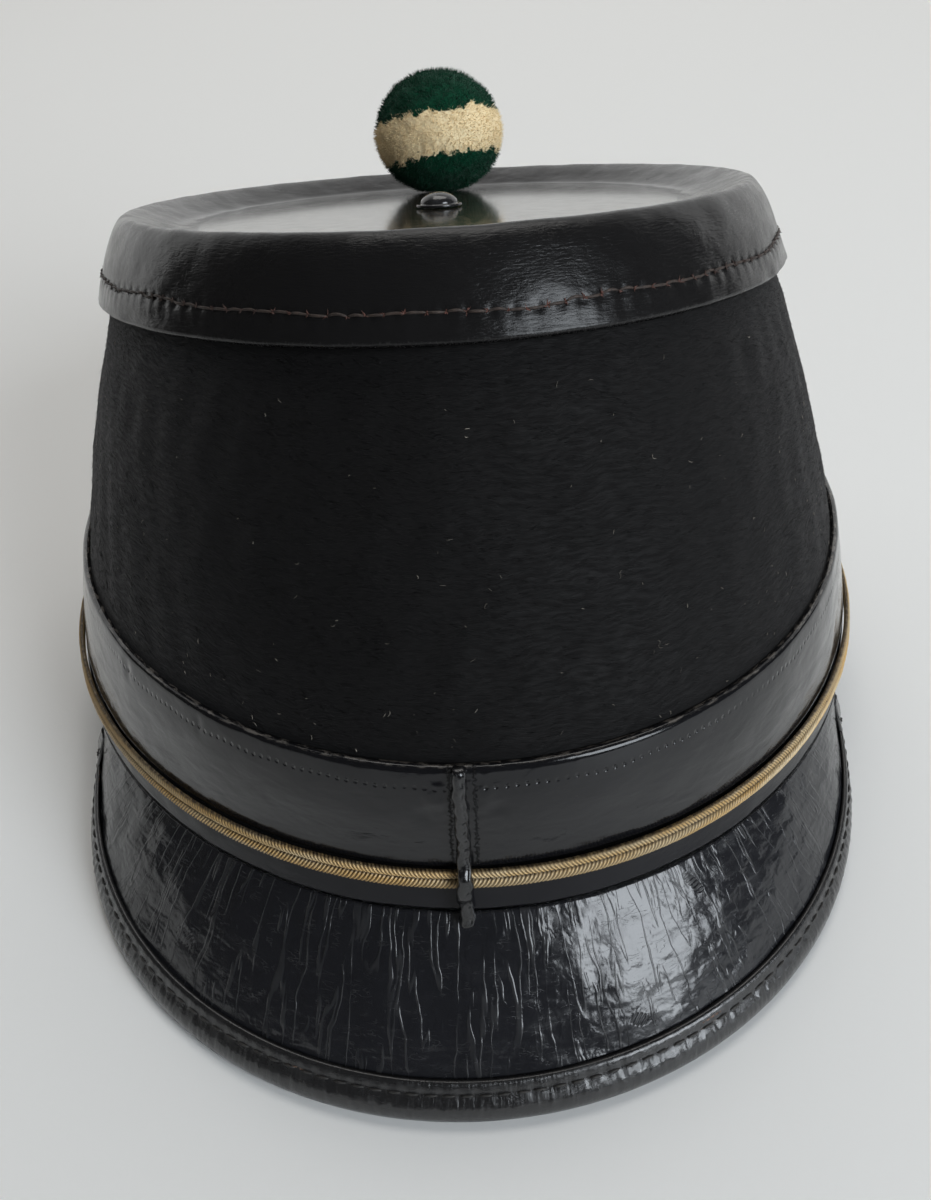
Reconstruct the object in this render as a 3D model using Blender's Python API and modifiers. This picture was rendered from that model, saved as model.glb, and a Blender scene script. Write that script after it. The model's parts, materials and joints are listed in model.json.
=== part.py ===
"""Black shako hat: felt crown, leather lid, lacquered band, gold braid, steep peak and pompom.

Metres, +Z up. The hat is modelled level, with its peak towards -Y and its foot at height 0.
Its empty then tips it until it rests on the peak's edge and on the far side of its foot.
Every level section is an oval that stands a little turned on the line from peak to pompom.
"""
import math
from dataclasses import dataclass

import bmesh
import bpy
import numpy as np
from mathutils import Matrix, Vector

# Foot of the crown, outside of the felt
FOOT_HALF_WIDTH = 0.0870
FOOT_HALF_LENGTH = 0.1033
FOOT_EGG = 0.054

# Lid, measured along the crest of its rim
LID_HALF_WIDTH = 0.0632
LID_HALF_LENGTH = 0.0769
LID_HEIGHT = 0.0904
LID_SHIFT = 0.0071
LID_SLOPE = math.radians(7.0)
LID_EGG = 0.076
HEM_FLARE = 0.0075
HEM_DROP = 0.0146
RIM_WIDTH = 0.0110
DISC_SINK = 0.0038
OVAL_TURN = math.radians(3.5)

# Walls and clearances
FELT = 0.0024
BAND_LEATHER = 0.0012
LID_LEATHER = 0.0016
PEAK_LEATHER = 0.0018
GAP = 0.0003
HEM_EASE = 0.0012
RIM_EASE = 0.0006
CROWN_TUCK = 0.0050

# Trim round the foot
BAND_TOP = 0.0303
BRAID_HEIGHT = 0.0077
BRAID_WIDTH = 0.0040
BRAID_DEPTH = 0.0016
BRAID_LAP = 0.0004
SEAM_WIDTH = 0.0024
SEAM_DEPTH = 0.0015
SEAM_RISE = 0.0006
SEAM_OVERHANG = 0.0024

# Peak
PEAK_DROP = 0.0288
PEAK_FRONT = 0.1222
PEAK_HALF_WIDTH = 0.0802
PEAK_CENTRE = 0.0432
PEAK_REACH = math.radians(56.0)
PEAK_SWEEP = math.radians(95.0)
PEAK_BOW = 0.0010
BINDING_WIDTH = 0.0065
BINDING_LEATHER = 0.0008
BINDING_START = 0.09

# Lid button, pompom and its pin
BUTTON_RADIUS = 0.0048
BUTTON_HEIGHT = 0.0028
BUTTON_FLANGE = 0.0005
BUTTON_PLACE = 0.0107
POMPOM_RADIUS = 0.0158
POMPOM_PLACE = 0.0600
POMPOM_LOCKS = 56
LOCK_HEIGHT = 0.0011
POMPOM_SQUASH = 0.88
PIN_RADIUS = 0.0015
PIN_HEAD_RADIUS = 0.0050
PIN_HEAD_HEIGHT = 0.0010
PIN_DEPTH = 0.0100

# How finely the ovals are divided
AROUND = 64
PEAK_COLUMNS = 40
PEAK_ROWS = 5

# Felt wall from foot to hem, in shares of the height and of each size's change on the way
WALL_SECTIONS = (
    # height, width, length, shift, slope
    (0.00, 0.00, 0.00, 0.00, 0.00),
    (0.10, 0.05, 0.02, -0.02, 0.00),
    (0.40, 0.32, 0.07, -0.34, 0.00),
    (0.70, 0.61, 0.47, 0.28, 0.50),
    (1.00, 1.00, 1.00, 1.00, 1.00),
)

# Lid from its hem up to the crest: share of the flare and share of the drop
HEM_PROFILE = ((1.00, 1.00), (0.80, 0.70), (0.58, 0.42), (0.36, 0.19), (0.16, 0.055), (0.0, 0.0))

# Lid from the crest in to the disc: share of the rim's width and share of the sink
RIM_PROFILE = ((0.14, 0.06), (0.40, 0.34), (0.78, 0.84), (1.0, 1.0))

# Braid across its width: share of its depth and share of half its width
BRAID_PROFILE = ((0.0, -1.0), (0.72, -0.94), (1.0, -0.50), (0.60, 0.0), (1.0, 0.50), (0.72, 0.94), (0.0, 1.0))

# Welt across its width: share of half its width and share of its depth
SEAM_PROFILE = ((-1.0, 0.0), (-0.82, 0.62), (-0.36, 1.0), (0.36, 1.0), (0.82, 0.62), (1.0, 0.0))

# Peak's rounded corners, as the power of its outline
CORNER_POWER = 7.0


@dataclass
class Oval:
    """A sloping oval section: half sizes, height at its middle, shift towards +Y and slope."""

    half_width: float
    half_length: float
    height: float
    shift: float = 0.0
    slope: float = 0.0
    egg: float = 0.0

    def grown(self, out, up=0.0):
        """The oval moved out by a distance and up along its own axis."""
        shift = self.shift + up * math.tan(self.slope)
        return Oval(self.half_width + out, self.half_length + out, self.height + up, shift, self.slope, self.egg)

    def points(self, turns):
        """Points at the given turns, counted from the peak's side towards +X."""
        along = -np.cos(turns)
        across = self.half_width * np.sin(turns) * (1.0 + self.egg * along)
        length = self.half_length * along
        height = self.height - length * math.tan(self.slope)
        length = length + self.shift
        x = across * math.cos(OVAL_TURN) - length * math.sin(OVAL_TURN)
        y = across * math.sin(OVAL_TURN) + length * math.cos(OVAL_TURN)
        return np.stack([x, y, height], axis=-1)

    def ring(self):
        """Points all the way round."""
        return self.points(np.linspace(0.0, 2.0 * math.pi, AROUND, endpoint=False))

    def at_bearings(self, bearings):
        """Points where the oval crosses the given bearings, from -Y towards +X."""
        turns = np.linspace(-math.pi, math.pi, 721)
        points = self.points(turns)
        found = np.unwrap(np.arctan2(points[:, 0], -points[:, 1]))
        return self.points(np.interp(bearings, found, turns))


def smooth_table(share, places, values):
    """Read a table of values as a curve that passes each row without a kink."""
    places = np.asarray(places)
    values = np.asarray(values)
    slopes = np.gradient(values, places)
    row = int(np.clip(np.searchsorted(places, share) - 1, 0, len(places) - 2))
    span = places[row + 1] - places[row]
    t = (share - places[row]) / span
    start = (2 * t ** 3 - 3 * t ** 2 + 1) * values[row] + (t ** 3 - 2 * t ** 2 + t) * span * slopes[row]
    end = (3 * t ** 2 - 2 * t ** 3) * values[row + 1] + (t ** 3 - t ** 2) * span * slopes[row + 1]
    return float(start + end)


def lid_oval(out=0.0, up=0.0):
    """Oval parallel to the lid's crest."""
    crest = Oval(LID_HALF_WIDTH, LID_HALF_LENGTH, LID_HEIGHT, LID_SHIFT, LID_SLOPE, LID_EGG)
    return crest.grown(out, up)


def lid_flare(drop):
    """How far the outside of the lid's side stands out at a drop below the crest."""
    shares = np.array(HEM_PROFILE[::-1])
    return float(np.interp(drop, shares[:, 1] * HEM_DROP, shares[:, 0] * HEM_FLARE))


def hem_felt():
    """Outside of the felt at the height of the lid's hem."""
    return lid_oval(HEM_FLARE - LID_LEATHER - HEM_EASE, -HEM_DROP)


def felt_oval(height):
    """Outside of the felt wall at a height between the foot and the lid's hem."""
    top = hem_felt()
    places, width, length, shift, slope = np.array(WALL_SECTIONS).T
    share = height / top.height
    wide = smooth_table(share, places, width)
    long = smooth_table(share, places, length)
    lean = smooth_table(share, places, slope)
    return Oval(
        FOOT_HALF_WIDTH + (top.half_width - FOOT_HALF_WIDTH) * wide,
        FOOT_HALF_LENGTH + (top.half_length - FOOT_HALF_LENGTH) * long,
        height,
        top.shift * smooth_table(share, places, shift),
        top.slope * lean,
        FOOT_EGG + (top.egg - FOOT_EGG) * lean,
    )


def trim_oval(height, out=0.0):
    """Outside of the band and of the lower strip at a height, moved out by a distance."""
    return felt_oval(height).grown(GAP + BAND_LEATHER + out)


def loft_faces(rows, columns, closed_across=False, closed_along=False):
    """Quads between neighbouring rows of points, facing out where rows go up."""
    index = np.arange(rows * columns).reshape(rows, columns)
    if closed_across:
        index = np.concatenate([index, index[:, :1]], axis=1)
    if closed_along:
        index = np.concatenate([index, index[:1]], axis=0)
    quads = np.stack([index[:-1, :-1], index[:-1, 1:], index[1:, 1:], index[1:, :-1]], axis=-1)
    return quads.reshape(-1, 4).tolist()


def make_material(name, colour, roughness, metallic=0.0):
    """Principled material of one colour."""
    material = bpy.data.materials.new(name)
    material.use_nodes = True
    shader = material.node_tree.nodes["Principled BSDF"]
    shader.inputs["Base Color"].default_value = (*colour, 1.0)
    shader.inputs["Roughness"].default_value = roughness
    shader.inputs["Metallic"].default_value = metallic
    material.diffuse_color = (*colour, 1.0)
    return material


def make_object(name, points, faces, material, collection):
    """Mesh object from points and faces."""
    mesh = bpy.data.meshes.new(name)
    mesh.from_pydata(np.asarray(points, dtype=float).reshape(-1, 3).tolist(), [], faces)
    mesh.materials.append(material)
    mesh.update()
    mesh.shade_smooth()
    part = bpy.data.objects.new(name, mesh)
    collection.objects.link(part)
    return part


def edit_mesh(part, change):
    """Apply a bmesh change to an object's mesh."""
    work = bmesh.new()
    work.from_mesh(part.data)
    change(work)
    work.to_mesh(part.data)
    work.free()


def face_outwards(part):
    """Turn the faces of a closed mesh outwards."""
    edit_mesh(part, lambda work: bmesh.ops.recalc_face_normals(work, faces=work.faces))


def add_wall(part, thickness):
    """Give an open surface a wall on its inner side."""
    wall = part.modifiers.new("wall", "SOLIDIFY")
    wall.thickness = thickness
    wall.offset = -1.0
    wall.use_even_offset = True


def cut_hole(part, cutter):
    """Cut a hole with an exact Boolean."""
    hole = part.modifiers.new("hole", "BOOLEAN")
    hole.operation = "DIFFERENCE"
    hole.solver = "EXACT"
    hole.object = cutter


def turned_object(name, profile, material, collection):
    """Solid turned from a profile of (radius, height) pairs, top to bottom."""
    points = [(radius, 0.0, height) for radius, height in profile]
    edges = [(step, step + 1) for step in range(len(points) - 1)]
    mesh = bpy.data.meshes.new(name)
    mesh.from_pydata(points, edges, [])
    mesh.materials.append(material)
    part = bpy.data.objects.new(name, mesh)
    collection.objects.link(part)
    turn = part.modifiers.new("turn", "SCREW")
    turn.steps = 20
    turn.render_steps = 20
    turn.use_merge_vertices = True
    turn.merge_threshold = 0.00001
    return part


def wall_object(name, ovals, thickness, material, collection):
    """Ring-shaped wall lofted up through ovals."""
    rings = [oval.ring() for oval in ovals]
    faces = loft_faces(len(rings), AROUND, closed_across=True)
    part = make_object(name, rings, faces, material, collection)
    add_wall(part, thickness)
    return part


def build_crown(material, collection):
    """Felt wall from the foot up to its tuck under the lid's rim."""
    hem_height = hem_felt().height
    heights = [BRAID_HEIGHT, (BRAID_HEIGHT + BAND_TOP) / 2, BAND_TOP]
    heights += [BAND_TOP + (hem_height - BAND_TOP) * share for share in (0.35, 0.7)]
    ovals = [felt_oval(0.0)] + [felt_oval(height) for height in heights] + [hem_felt()]
    tuck = lid_flare(CROWN_TUCK) - LID_LEATHER - RIM_EASE - HEM_EASE / 2
    ovals.append(lid_oval(tuck, -CROWN_TUCK))
    return wall_object("crown", ovals, FELT, material, collection)


def build_lid(material, collection):
    """Leather lid: hem, side, round crest, inner slope and sunk disc."""
    ovals = [lid_oval(out * HEM_FLARE, -drop * HEM_DROP) for out, drop in HEM_PROFILE]
    ovals += [lid_oval(-inside * RIM_WIDTH, -sink * DISC_SINK) for inside, sink in RIM_PROFILE]
    rings = [oval.ring() for oval in ovals]
    faces = loft_faces(len(rings), AROUND, closed_across=True)
    last = (len(rings) - 1) * AROUND
    faces.append(list(range(last, last + AROUND)))
    lid = make_object("lid", rings, faces, material, collection)
    add_wall(lid, LID_LEATHER)
    return lid


def build_band(material, collection):
    """Wide lacquered band above the braid."""
    bottom = BRAID_HEIGHT + BRAID_WIDTH / 2 - BRAID_LAP
    ovals = [trim_oval(height) for height in (bottom, (bottom + BAND_TOP) / 2, BAND_TOP)]
    return wall_object("band", ovals, BAND_LEATHER, material, collection)


def build_lower_strip(material, collection):
    """Narrow lacquered strip under the braid."""
    top = BRAID_HEIGHT - BRAID_WIDTH / 2 + BRAID_LAP
    ovals = [trim_oval(height) for height in (0.0, top)]
    return wall_object("lower_strip", ovals, BAND_LEATHER, material, collection)


def build_braid(material, collection):
    """Flat braid of two ridges that runs round over the gap between band and strip."""
    rings = []
    for depth, side in BRAID_PROFILE:
        height = BRAID_HEIGHT + side * BRAID_WIDTH / 2
        rings.append(trim_oval(height, GAP + depth * BRAID_DEPTH).ring())
    faces = loft_faces(len(rings), AROUND, closed_across=True, closed_along=True)
    braid = make_object("braid", rings, faces, material, collection)
    face_outwards(braid)
    return braid


def rest_height(place):
    """Height of the rest line, from the peak's front edge to the far side of the foot."""
    far = FOOT_HALF_LENGTH + GAP + BAND_LEATHER
    return -PEAK_DROP * (far - place) / (far + PEAK_FRONT)


def peak_points(side, fall):
    """Points of the peak's outer face, at shares of its half length and of its fall."""
    root = felt_oval(0.0).grown(GAP + BAND_LEATHER).at_bearings(side * PEAK_REACH)
    root[..., 2] = -GAP
    sweep = side * PEAK_SWEEP
    x = PEAK_HALF_WIDTH * np.sin(sweep)
    y = -PEAK_CENTRE - (PEAK_FRONT - PEAK_CENTRE) * np.cos(sweep)
    edge = np.stack([x, y, rest_height(y)], axis=-1)
    away = np.stack([np.sin(sweep), -np.cos(sweep), np.zeros_like(sweep)], axis=-1)
    bow = (4 * PEAK_BOW * fall * (1 - fall))[..., None] * away
    return root + np.asarray(fall)[..., None] * (edge - root) + bow


def rounded(side, fall):
    """Pull the corners of the square of shares in to a rounded outline."""
    reach = np.maximum(np.maximum(np.abs(side), fall), 1e-9)
    spread = (np.abs(side) / reach) ** CORNER_POWER + (fall / reach) ** CORNER_POWER
    pull = np.maximum(spread, 1.0) ** (-1.0 / CORNER_POWER)
    return side * pull, fall * pull


def peak_columns():
    """Shares of the half length at the peak's columns, closer together at its corners."""
    even = np.linspace(-1.0, 1.0, PEAK_COLUMNS + 1)
    return 0.6 * even + 0.4 * np.sin(even * math.pi / 2)


def build_peak(material, collection):
    """Steep crescent of leather under the lower strip."""
    columns = peak_columns()
    shares = np.linspace(1.0, 0.0, PEAK_ROWS + 1)
    rows = [peak_points(*rounded(columns, np.full_like(columns, share))) for share in shares]
    peak = make_object("peak", rows, loft_faces(len(rows), len(columns)), material, collection)
    add_wall(peak, PEAK_LEATHER)
    return peak


def unit(vectors):
    """Vectors scaled to length one."""
    return vectors / np.linalg.norm(vectors, axis=-1, keepdims=True)


def peak_slopes(side, fall):
    """Directions of the peak's face along its length and along its fall, and its normal."""
    step = 0.0001
    along = (peak_points(side + step, fall) - peak_points(side - step, fall)) / (2 * step)
    down = (peak_points(side, fall + step) - peak_points(side, fall - step)) / (2 * step)
    return along, down, unit(np.cross(down, along))


def binding_stations():
    """Shares of half length and fall along the peak's free edge, and its mitred outward way."""
    columns = peak_columns()
    shares = np.linspace(BINDING_START, 1.0, PEAK_ROWS + 1)[:-1]
    side = np.concatenate([-np.ones_like(shares), columns, np.ones_like(shares)])
    fall = np.concatenate([shares, np.ones_like(columns), shares[::-1]])
    side, fall = rounded(side, fall)
    points = peak_points(side, fall)
    normal = peak_slopes(side, fall)[2]
    leg = unit(np.diff(points, axis=0))
    before = np.concatenate([leg[:1], leg])
    after = np.concatenate([leg, leg[-1:]])
    ahead = unit(before + after)
    mitre = 1.0 / np.maximum((ahead * after).sum(-1, keepdims=True), 0.5)
    return side, fall, unit(np.cross(ahead, normal)) * mitre


def binding_ring(stations, out, up):
    """Points beside the peak's edge, at a distance out from it and up from the outer face."""
    side, fall, outward = stations
    inside = min(out, 0.0)
    along, down, normal = peak_slopes(side, fall)
    ss = (along * along).sum(-1)
    sf = (along * down).sum(-1)
    ff = (down * down).sum(-1)
    s_way = (along * outward).sum(-1) * inside
    f_way = (down * outward).sum(-1) * inside
    scale = ss * ff - sf * sf
    side = side + (s_way * ff - f_way * sf) / scale
    fall = fall + (f_way * ss - s_way * sf) / scale
    normal = peak_slopes(side, fall)[2]
    return peak_points(side, fall) + (out - inside) * outward + up * normal


def build_peak_binding(material, collection):
    """Rolled leather binding that wraps the peak's edge on both faces."""
    face = GAP + BINDING_LEATHER
    under = -PEAK_LEATHER
    section = (
        (-BINDING_WIDTH, GAP), (-BINDING_WIDTH, face * 0.9), (-BINDING_WIDTH * 0.55, face * 1.08),
        (-BINDING_WIDTH * 0.12, face), (face, face * 0.35), (face * 1.25, under / 2),
        (face, under - face * 0.35), (-BINDING_WIDTH * 0.12, under - face), (-BINDING_WIDTH, under - face * 0.9),
        (-BINDING_WIDTH, under - GAP), (GAP, under - GAP), (GAP, GAP),
    )
    stations = binding_stations()
    rows = np.stack([binding_ring(stations, out, up) for out, up in section], axis=1)
    faces = loft_faces(len(rows), len(section), closed_across=True)
    last = (len(rows) - 1) * len(section)
    faces.append(list(range(len(section)))[::-1])
    faces.append(list(range(last, last + len(section))))
    binding = make_object("peak_binding", rows, faces, material, collection)
    face_outwards(binding)
    return binding


def build_seam_strip(material, collection):
    """Narrow welt down the middle of the band, over the braid, to the peak's root."""
    over = GAP + BRAID_DEPTH + GAP
    half = BRAID_WIDTH / 2
    slide = (PEAK_FRONT - FOOT_HALF_LENGTH - GAP - BAND_LEATHER) / PEAK_DROP
    stations = (
        (BAND_TOP + SEAM_RISE, GAP), ((BAND_TOP + BRAID_HEIGHT) / 2, GAP),
        (BRAID_HEIGHT + half + 0.55 * BRAID_WIDTH, GAP), (BRAID_HEIGHT + half * 1.2, over * 0.9),
        (BRAID_HEIGHT + half * 0.8, over), (BRAID_HEIGHT - half * 0.8, over),
        (BRAID_HEIGHT - half * 1.2, over * 0.9), (BRAID_HEIGHT - half - 0.45 * BRAID_WIDTH, over * 0.45),
        (-SEAM_OVERHANG * 0.2, over * 0.5 + slide * SEAM_OVERHANG * 0.2),
        (-SEAM_OVERHANG, over * 0.5 + slide * SEAM_OVERHANG),
    )
    rows = []
    for height, out in stations:
        level = max(height, 0.0)
        middle = trim_oval(level, out).at_bearings(np.array([0.0]))[0]
        middle[2] = height
        row = [(across * SEAM_WIDTH / 2, middle[1] - depth * SEAM_DEPTH, height) for across, depth in SEAM_PROFILE]
        rows.append(row)
    rows = np.array(rows)
    faces = loft_faces(len(rows), len(SEAM_PROFILE), closed_across=True)
    last = (len(rows) - 1) * len(SEAM_PROFILE)
    faces.append(list(range(len(SEAM_PROFILE))))
    faces.append(list(range(last, last + len(SEAM_PROFILE)))[::-1])
    strip = make_object("seam_strip", rows, faces, material, collection)
    face_outwards(strip)
    return strip


def disc_height(place):
    """Height of the lid's disc at a distance towards +Y on the middle line."""
    middle = lid_oval(0.0, -DISC_SINK)
    return middle.height - (place - middle.shift) * math.tan(LID_SLOPE)


def build_lid_button(material, collection):
    """Low dome with a thin flange on the lid's disc."""
    rise = BUTTON_HEIGHT - BUTTON_FLANGE
    arc = [(math.sin(angle), math.cos(angle)) for angle in np.linspace(0.0, math.pi / 2, 7)]
    profile = [(0.82 * BUTTON_RADIUS * out, BUTTON_FLANGE + rise * up) for out, up in arc]
    profile += [(BUTTON_RADIUS, BUTTON_FLANGE), (BUTTON_RADIUS, 0.0), (0.0, 0.0)]
    button = turned_object("lid_button", profile, material, collection)
    button.location = (0.0, BUTTON_PLACE, disc_height(BUTTON_PLACE) + GAP)
    button.rotation_euler = (-LID_SLOPE, 0.0, 0.0)
    return button


def lock_centres():
    """Directions of the pompom's locks, spread evenly over the ball."""
    step = np.arange(POMPOM_LOCKS) + 0.5
    height = 1.0 - 2.0 * step / POMPOM_LOCKS
    radius = np.sqrt(1.0 - height ** 2)
    angle = step * math.pi * (3.0 - math.sqrt(5.0))
    return np.stack([radius * np.cos(angle), radius * np.sin(angle), height], axis=-1)


def build_pompom(material, collection):
    """Ball of short locks fused to one head, flattened where it sits on the lid."""
    mesh = bpy.data.meshes.new("pompom")
    mesh.materials.append(material)
    pompom = bpy.data.objects.new("pompom", mesh)
    collection.objects.link(pompom)
    edit_mesh(pompom, lambda work: bmesh.ops.create_uvsphere(work, u_segments=34, v_segments=20, radius=1.0))
    centres = lock_centres()
    reach = math.sqrt(4.0 / POMPOM_LOCKS)
    for vertex in mesh.vertices:
        way = np.array(vertex.co)
        away = np.sqrt(((centres - way) ** 2).sum(-1)).min() / reach
        radius = POMPOM_RADIUS - LOCK_HEIGHT * min(1.0, away) ** 2
        squash = POMPOM_SQUASH if way[2] < 0.0 else 1.0
        vertex.co = Vector((way[0] * radius, way[1] * radius, way[2] * radius * squash))
    mesh.shade_smooth()
    seat = POMPOM_RADIUS * POMPOM_SQUASH
    pompom.location = (0.0, POMPOM_PLACE, disc_height(POMPOM_PLACE) + GAP + seat)
    pompom.rotation_euler = (-LID_SLOPE, 0.0, 0.0)
    return pompom


def build_pompom_pin(material, collection):
    """Plain pin with a flat head under the lid, up into the pompom."""
    low = -LID_LEATHER - GAP - PIN_HEAD_HEIGHT
    profile = [
        (0.0, GAP + PIN_DEPTH), (PIN_RADIUS, GAP + PIN_DEPTH), (PIN_RADIUS, -LID_LEATHER - GAP),
        (PIN_HEAD_RADIUS, -LID_LEATHER - GAP), (PIN_HEAD_RADIUS, low), (0.0, low),
    ]
    pin = turned_object("pompom_pin", profile, material, collection)
    pin.location = (0.0, POMPOM_PLACE, disc_height(POMPOM_PLACE))
    pin.rotation_euler = (-LID_SLOPE, 0.0, 0.0)
    return pin


def build_pin_cutter(material, collection):
    """Guide for the pin's hole through the lid and its socket in the pompom."""
    radius = PIN_RADIUS + GAP
    top = GAP + PIN_DEPTH + GAP
    low = -LID_LEATHER * 3
    profile = [(0.0, top), (radius, top), (radius, low), (0.0, low)]
    cutter = turned_object("pin_cutter", profile, material, collection)
    cutter.location = (0.0, POMPOM_PLACE, disc_height(POMPOM_PLACE))
    cutter.rotation_euler = (-LID_SLOPE, 0.0, 0.0)
    cutter.hide_render = True
    cutter.display_type = "WIRE"
    return cutter


def world_points(parts):
    """Corners of all the parts as they are built, in world coordinates."""
    bpy.context.view_layer.update()
    graph = bpy.context.evaluated_depsgraph_get()
    clouds = []
    for part in parts:
        shown = part.evaluated_get(graph)
        mesh = shown.to_mesh()
        flat = np.empty(len(mesh.vertices) * 3)
        mesh.vertices.foreach_get("co", flat)
        shown.to_mesh_clear()
        matrix = np.array(part.matrix_world)
        clouds.append(flat.reshape(-1, 3) @ matrix[:3, :3].T + matrix[:3, 3])
    return np.concatenate(clouds)


def settle(hat, parts):
    """Tip the hat onto its peak and the far side of its foot, and centre it over the origin."""
    points = world_points(parts)
    foot = points[(points[:, 2] > -GAP / 2) & (points[:, 2] < GAP / 2)]
    far = foot[foot[:, 1].argmax()]
    front = points[points[:, 1] < -FOOT_HALF_LENGTH]
    tip = math.atan(((far[2] - front[:, 2]) / (far[1] - front[:, 1])).max())
    hat.matrix_world = Matrix.Rotation(-tip, 4, "X")
    points = world_points(parts)
    low = points.min(axis=0)
    high = points.max(axis=0)
    middle = Vector((-(low[0] + high[0]) / 2, -(low[1] + high[1]) / 2, -low[2]))
    hat.matrix_world = Matrix.Translation(middle) @ hat.matrix_world


def main():
    """Build the hat."""
    for old in list(bpy.data.objects):
        bpy.data.objects.remove(old, do_unlink=True)
    collection = bpy.data.collections.new("shako_hat")
    guides = bpy.data.collections.new("guides")
    bpy.context.scene.collection.children.link(collection)
    bpy.context.scene.collection.children.link(guides)

    felt = make_material("black_felt", (0.012, 0.011, 0.011), 0.95)
    lid_leather = make_material("lid_leather", (0.020, 0.020, 0.021), 0.38)
    lacquer = make_material("lacquered_leather", (0.016, 0.016, 0.018), 0.16)
    peak_lacquer = make_material("peak_leather", (0.018, 0.018, 0.020), 0.20)
    edge_leather = make_material("binding_leather", (0.022, 0.022, 0.023), 0.32)
    gold = make_material("gold_braid", (0.62, 0.50, 0.30), 0.45, 0.35)
    wool = make_material("green_wool", (0.010, 0.110, 0.055), 0.95)
    steel = make_material("pin_steel", (0.30, 0.30, 0.31), 0.40, 1.0)

    hat = bpy.data.objects.new("hat", None)
    collection.objects.link(hat)
    lid = build_lid(lid_leather, collection)
    pompom = build_pompom(wool, collection)
    parts = [
        build_crown(felt, collection),
        lid,
        build_band(lacquer, collection),
        build_lower_strip(lacquer, collection),
        build_braid(gold, collection),
        build_seam_strip(lacquer, collection),
        build_peak(peak_lacquer, collection),
        build_peak_binding(edge_leather, collection),
        build_lid_button(lid_leather, collection),
        pompom,
        build_pompom_pin(steel, collection),
    ]
    cutter = build_pin_cutter(steel, guides)
    cut_hole(lid, cutter)
    cut_hole(pompom, cutter)
    for part in parts + [cutter]:
        part.parent = hat
    settle(hat, parts)


main()
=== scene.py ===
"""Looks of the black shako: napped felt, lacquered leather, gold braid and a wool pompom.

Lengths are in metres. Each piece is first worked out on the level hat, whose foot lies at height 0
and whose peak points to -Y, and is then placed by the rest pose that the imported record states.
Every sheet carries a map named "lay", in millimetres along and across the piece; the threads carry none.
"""
import json
import logging
import math
from dataclasses import dataclass, field
from enum import Enum
from typing import Optional, Sequence

import bpy
import numpy as np
from mathutils import Matrix

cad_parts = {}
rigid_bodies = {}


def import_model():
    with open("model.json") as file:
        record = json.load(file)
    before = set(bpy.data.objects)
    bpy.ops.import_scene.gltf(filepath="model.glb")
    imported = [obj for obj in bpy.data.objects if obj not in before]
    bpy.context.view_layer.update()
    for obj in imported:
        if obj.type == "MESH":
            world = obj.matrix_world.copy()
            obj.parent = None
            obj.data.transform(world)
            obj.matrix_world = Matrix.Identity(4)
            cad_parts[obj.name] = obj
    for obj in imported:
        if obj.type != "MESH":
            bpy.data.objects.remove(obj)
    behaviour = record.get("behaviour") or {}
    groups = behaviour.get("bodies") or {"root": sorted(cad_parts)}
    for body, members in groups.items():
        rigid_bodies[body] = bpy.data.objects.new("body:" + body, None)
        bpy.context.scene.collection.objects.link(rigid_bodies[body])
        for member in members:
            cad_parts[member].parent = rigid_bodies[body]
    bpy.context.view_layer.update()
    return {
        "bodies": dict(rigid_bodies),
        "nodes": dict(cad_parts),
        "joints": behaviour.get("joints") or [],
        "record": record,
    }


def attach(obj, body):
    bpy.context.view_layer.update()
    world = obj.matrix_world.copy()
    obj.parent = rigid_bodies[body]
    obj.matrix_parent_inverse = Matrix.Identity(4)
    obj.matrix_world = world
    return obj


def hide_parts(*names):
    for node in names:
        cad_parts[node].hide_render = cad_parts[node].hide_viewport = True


LOG = logging.getLogger("shako")
LAY = "lay"
MM = 0.001
# millimetres from the welt to where the map of the band closes on itself
JOINT_AT = 6.3
BODY = "root"

Array = np.ndarray


class Slot(Enum):
    """Material slots of the record."""

    FELT = "black_felt"
    LID = "lid_leather"
    LACQUER = "lacquered_leather"
    PEAK = "peak_leather"
    BINDING = "binding_leather"
    BRAID = "gold_braid"
    WOOL = "green_wool"
    STEEL = "pin_steel"


def unit(vectors: Array) -> Array:
    """Vectors scaled to length one."""
    return vectors / np.maximum(np.linalg.norm(vectors, axis=-1, keepdims=True), 1e-12)


def smooth_step(low: float, high: float, values: Array) -> Array:
    """Rise from 0 at low to 1 at high along a cubic."""
    share = np.clip((values - low) / (high - low), 0.0, 1.0)
    return share * share * (3.0 - 2.0 * share)


def bump_at(values: Array, centre: float, width: float) -> Array:
    """Bell of height 1 at a centre."""
    return np.exp(-(((values - centre) / width) ** 2))


def waves(u: Array, v: Array, period: float, seed: int, count: int, short: float, long: float,
        stretch: float = 1.0) -> Array:
    """Uneven surface as a sum of sine waves that closes on itself after one period along u.

    Args:
        u: Places along the closed way.
        v: Places across it.
        period: Length of the closed way, in the units of u.
        seed: Seed of the random draws.
        count: Number of waves.
        short: Shortest wave.
        long: Longest wave.
        stretch: How much longer the waves are along u than across it.

    Returns:
        Heights with a root mean square of about one.
    """
    draw = np.random.default_rng(seed)
    total = np.zeros(np.broadcast(u, v).shape)
    for _ in range(count):
        length = math.exp(draw.uniform(math.log(short), math.log(long)))
        heading = draw.uniform(0.0, math.pi)
        turns = round(math.cos(heading) * period / (length * stretch))
        across = math.sin(heading) / length
        phase = draw.uniform(0.0, 2.0 * math.pi)
        total += np.sin(2.0 * math.pi * (turns * u / period + across * v) + phase)
    return total * math.sqrt(2.0 / count)


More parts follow.
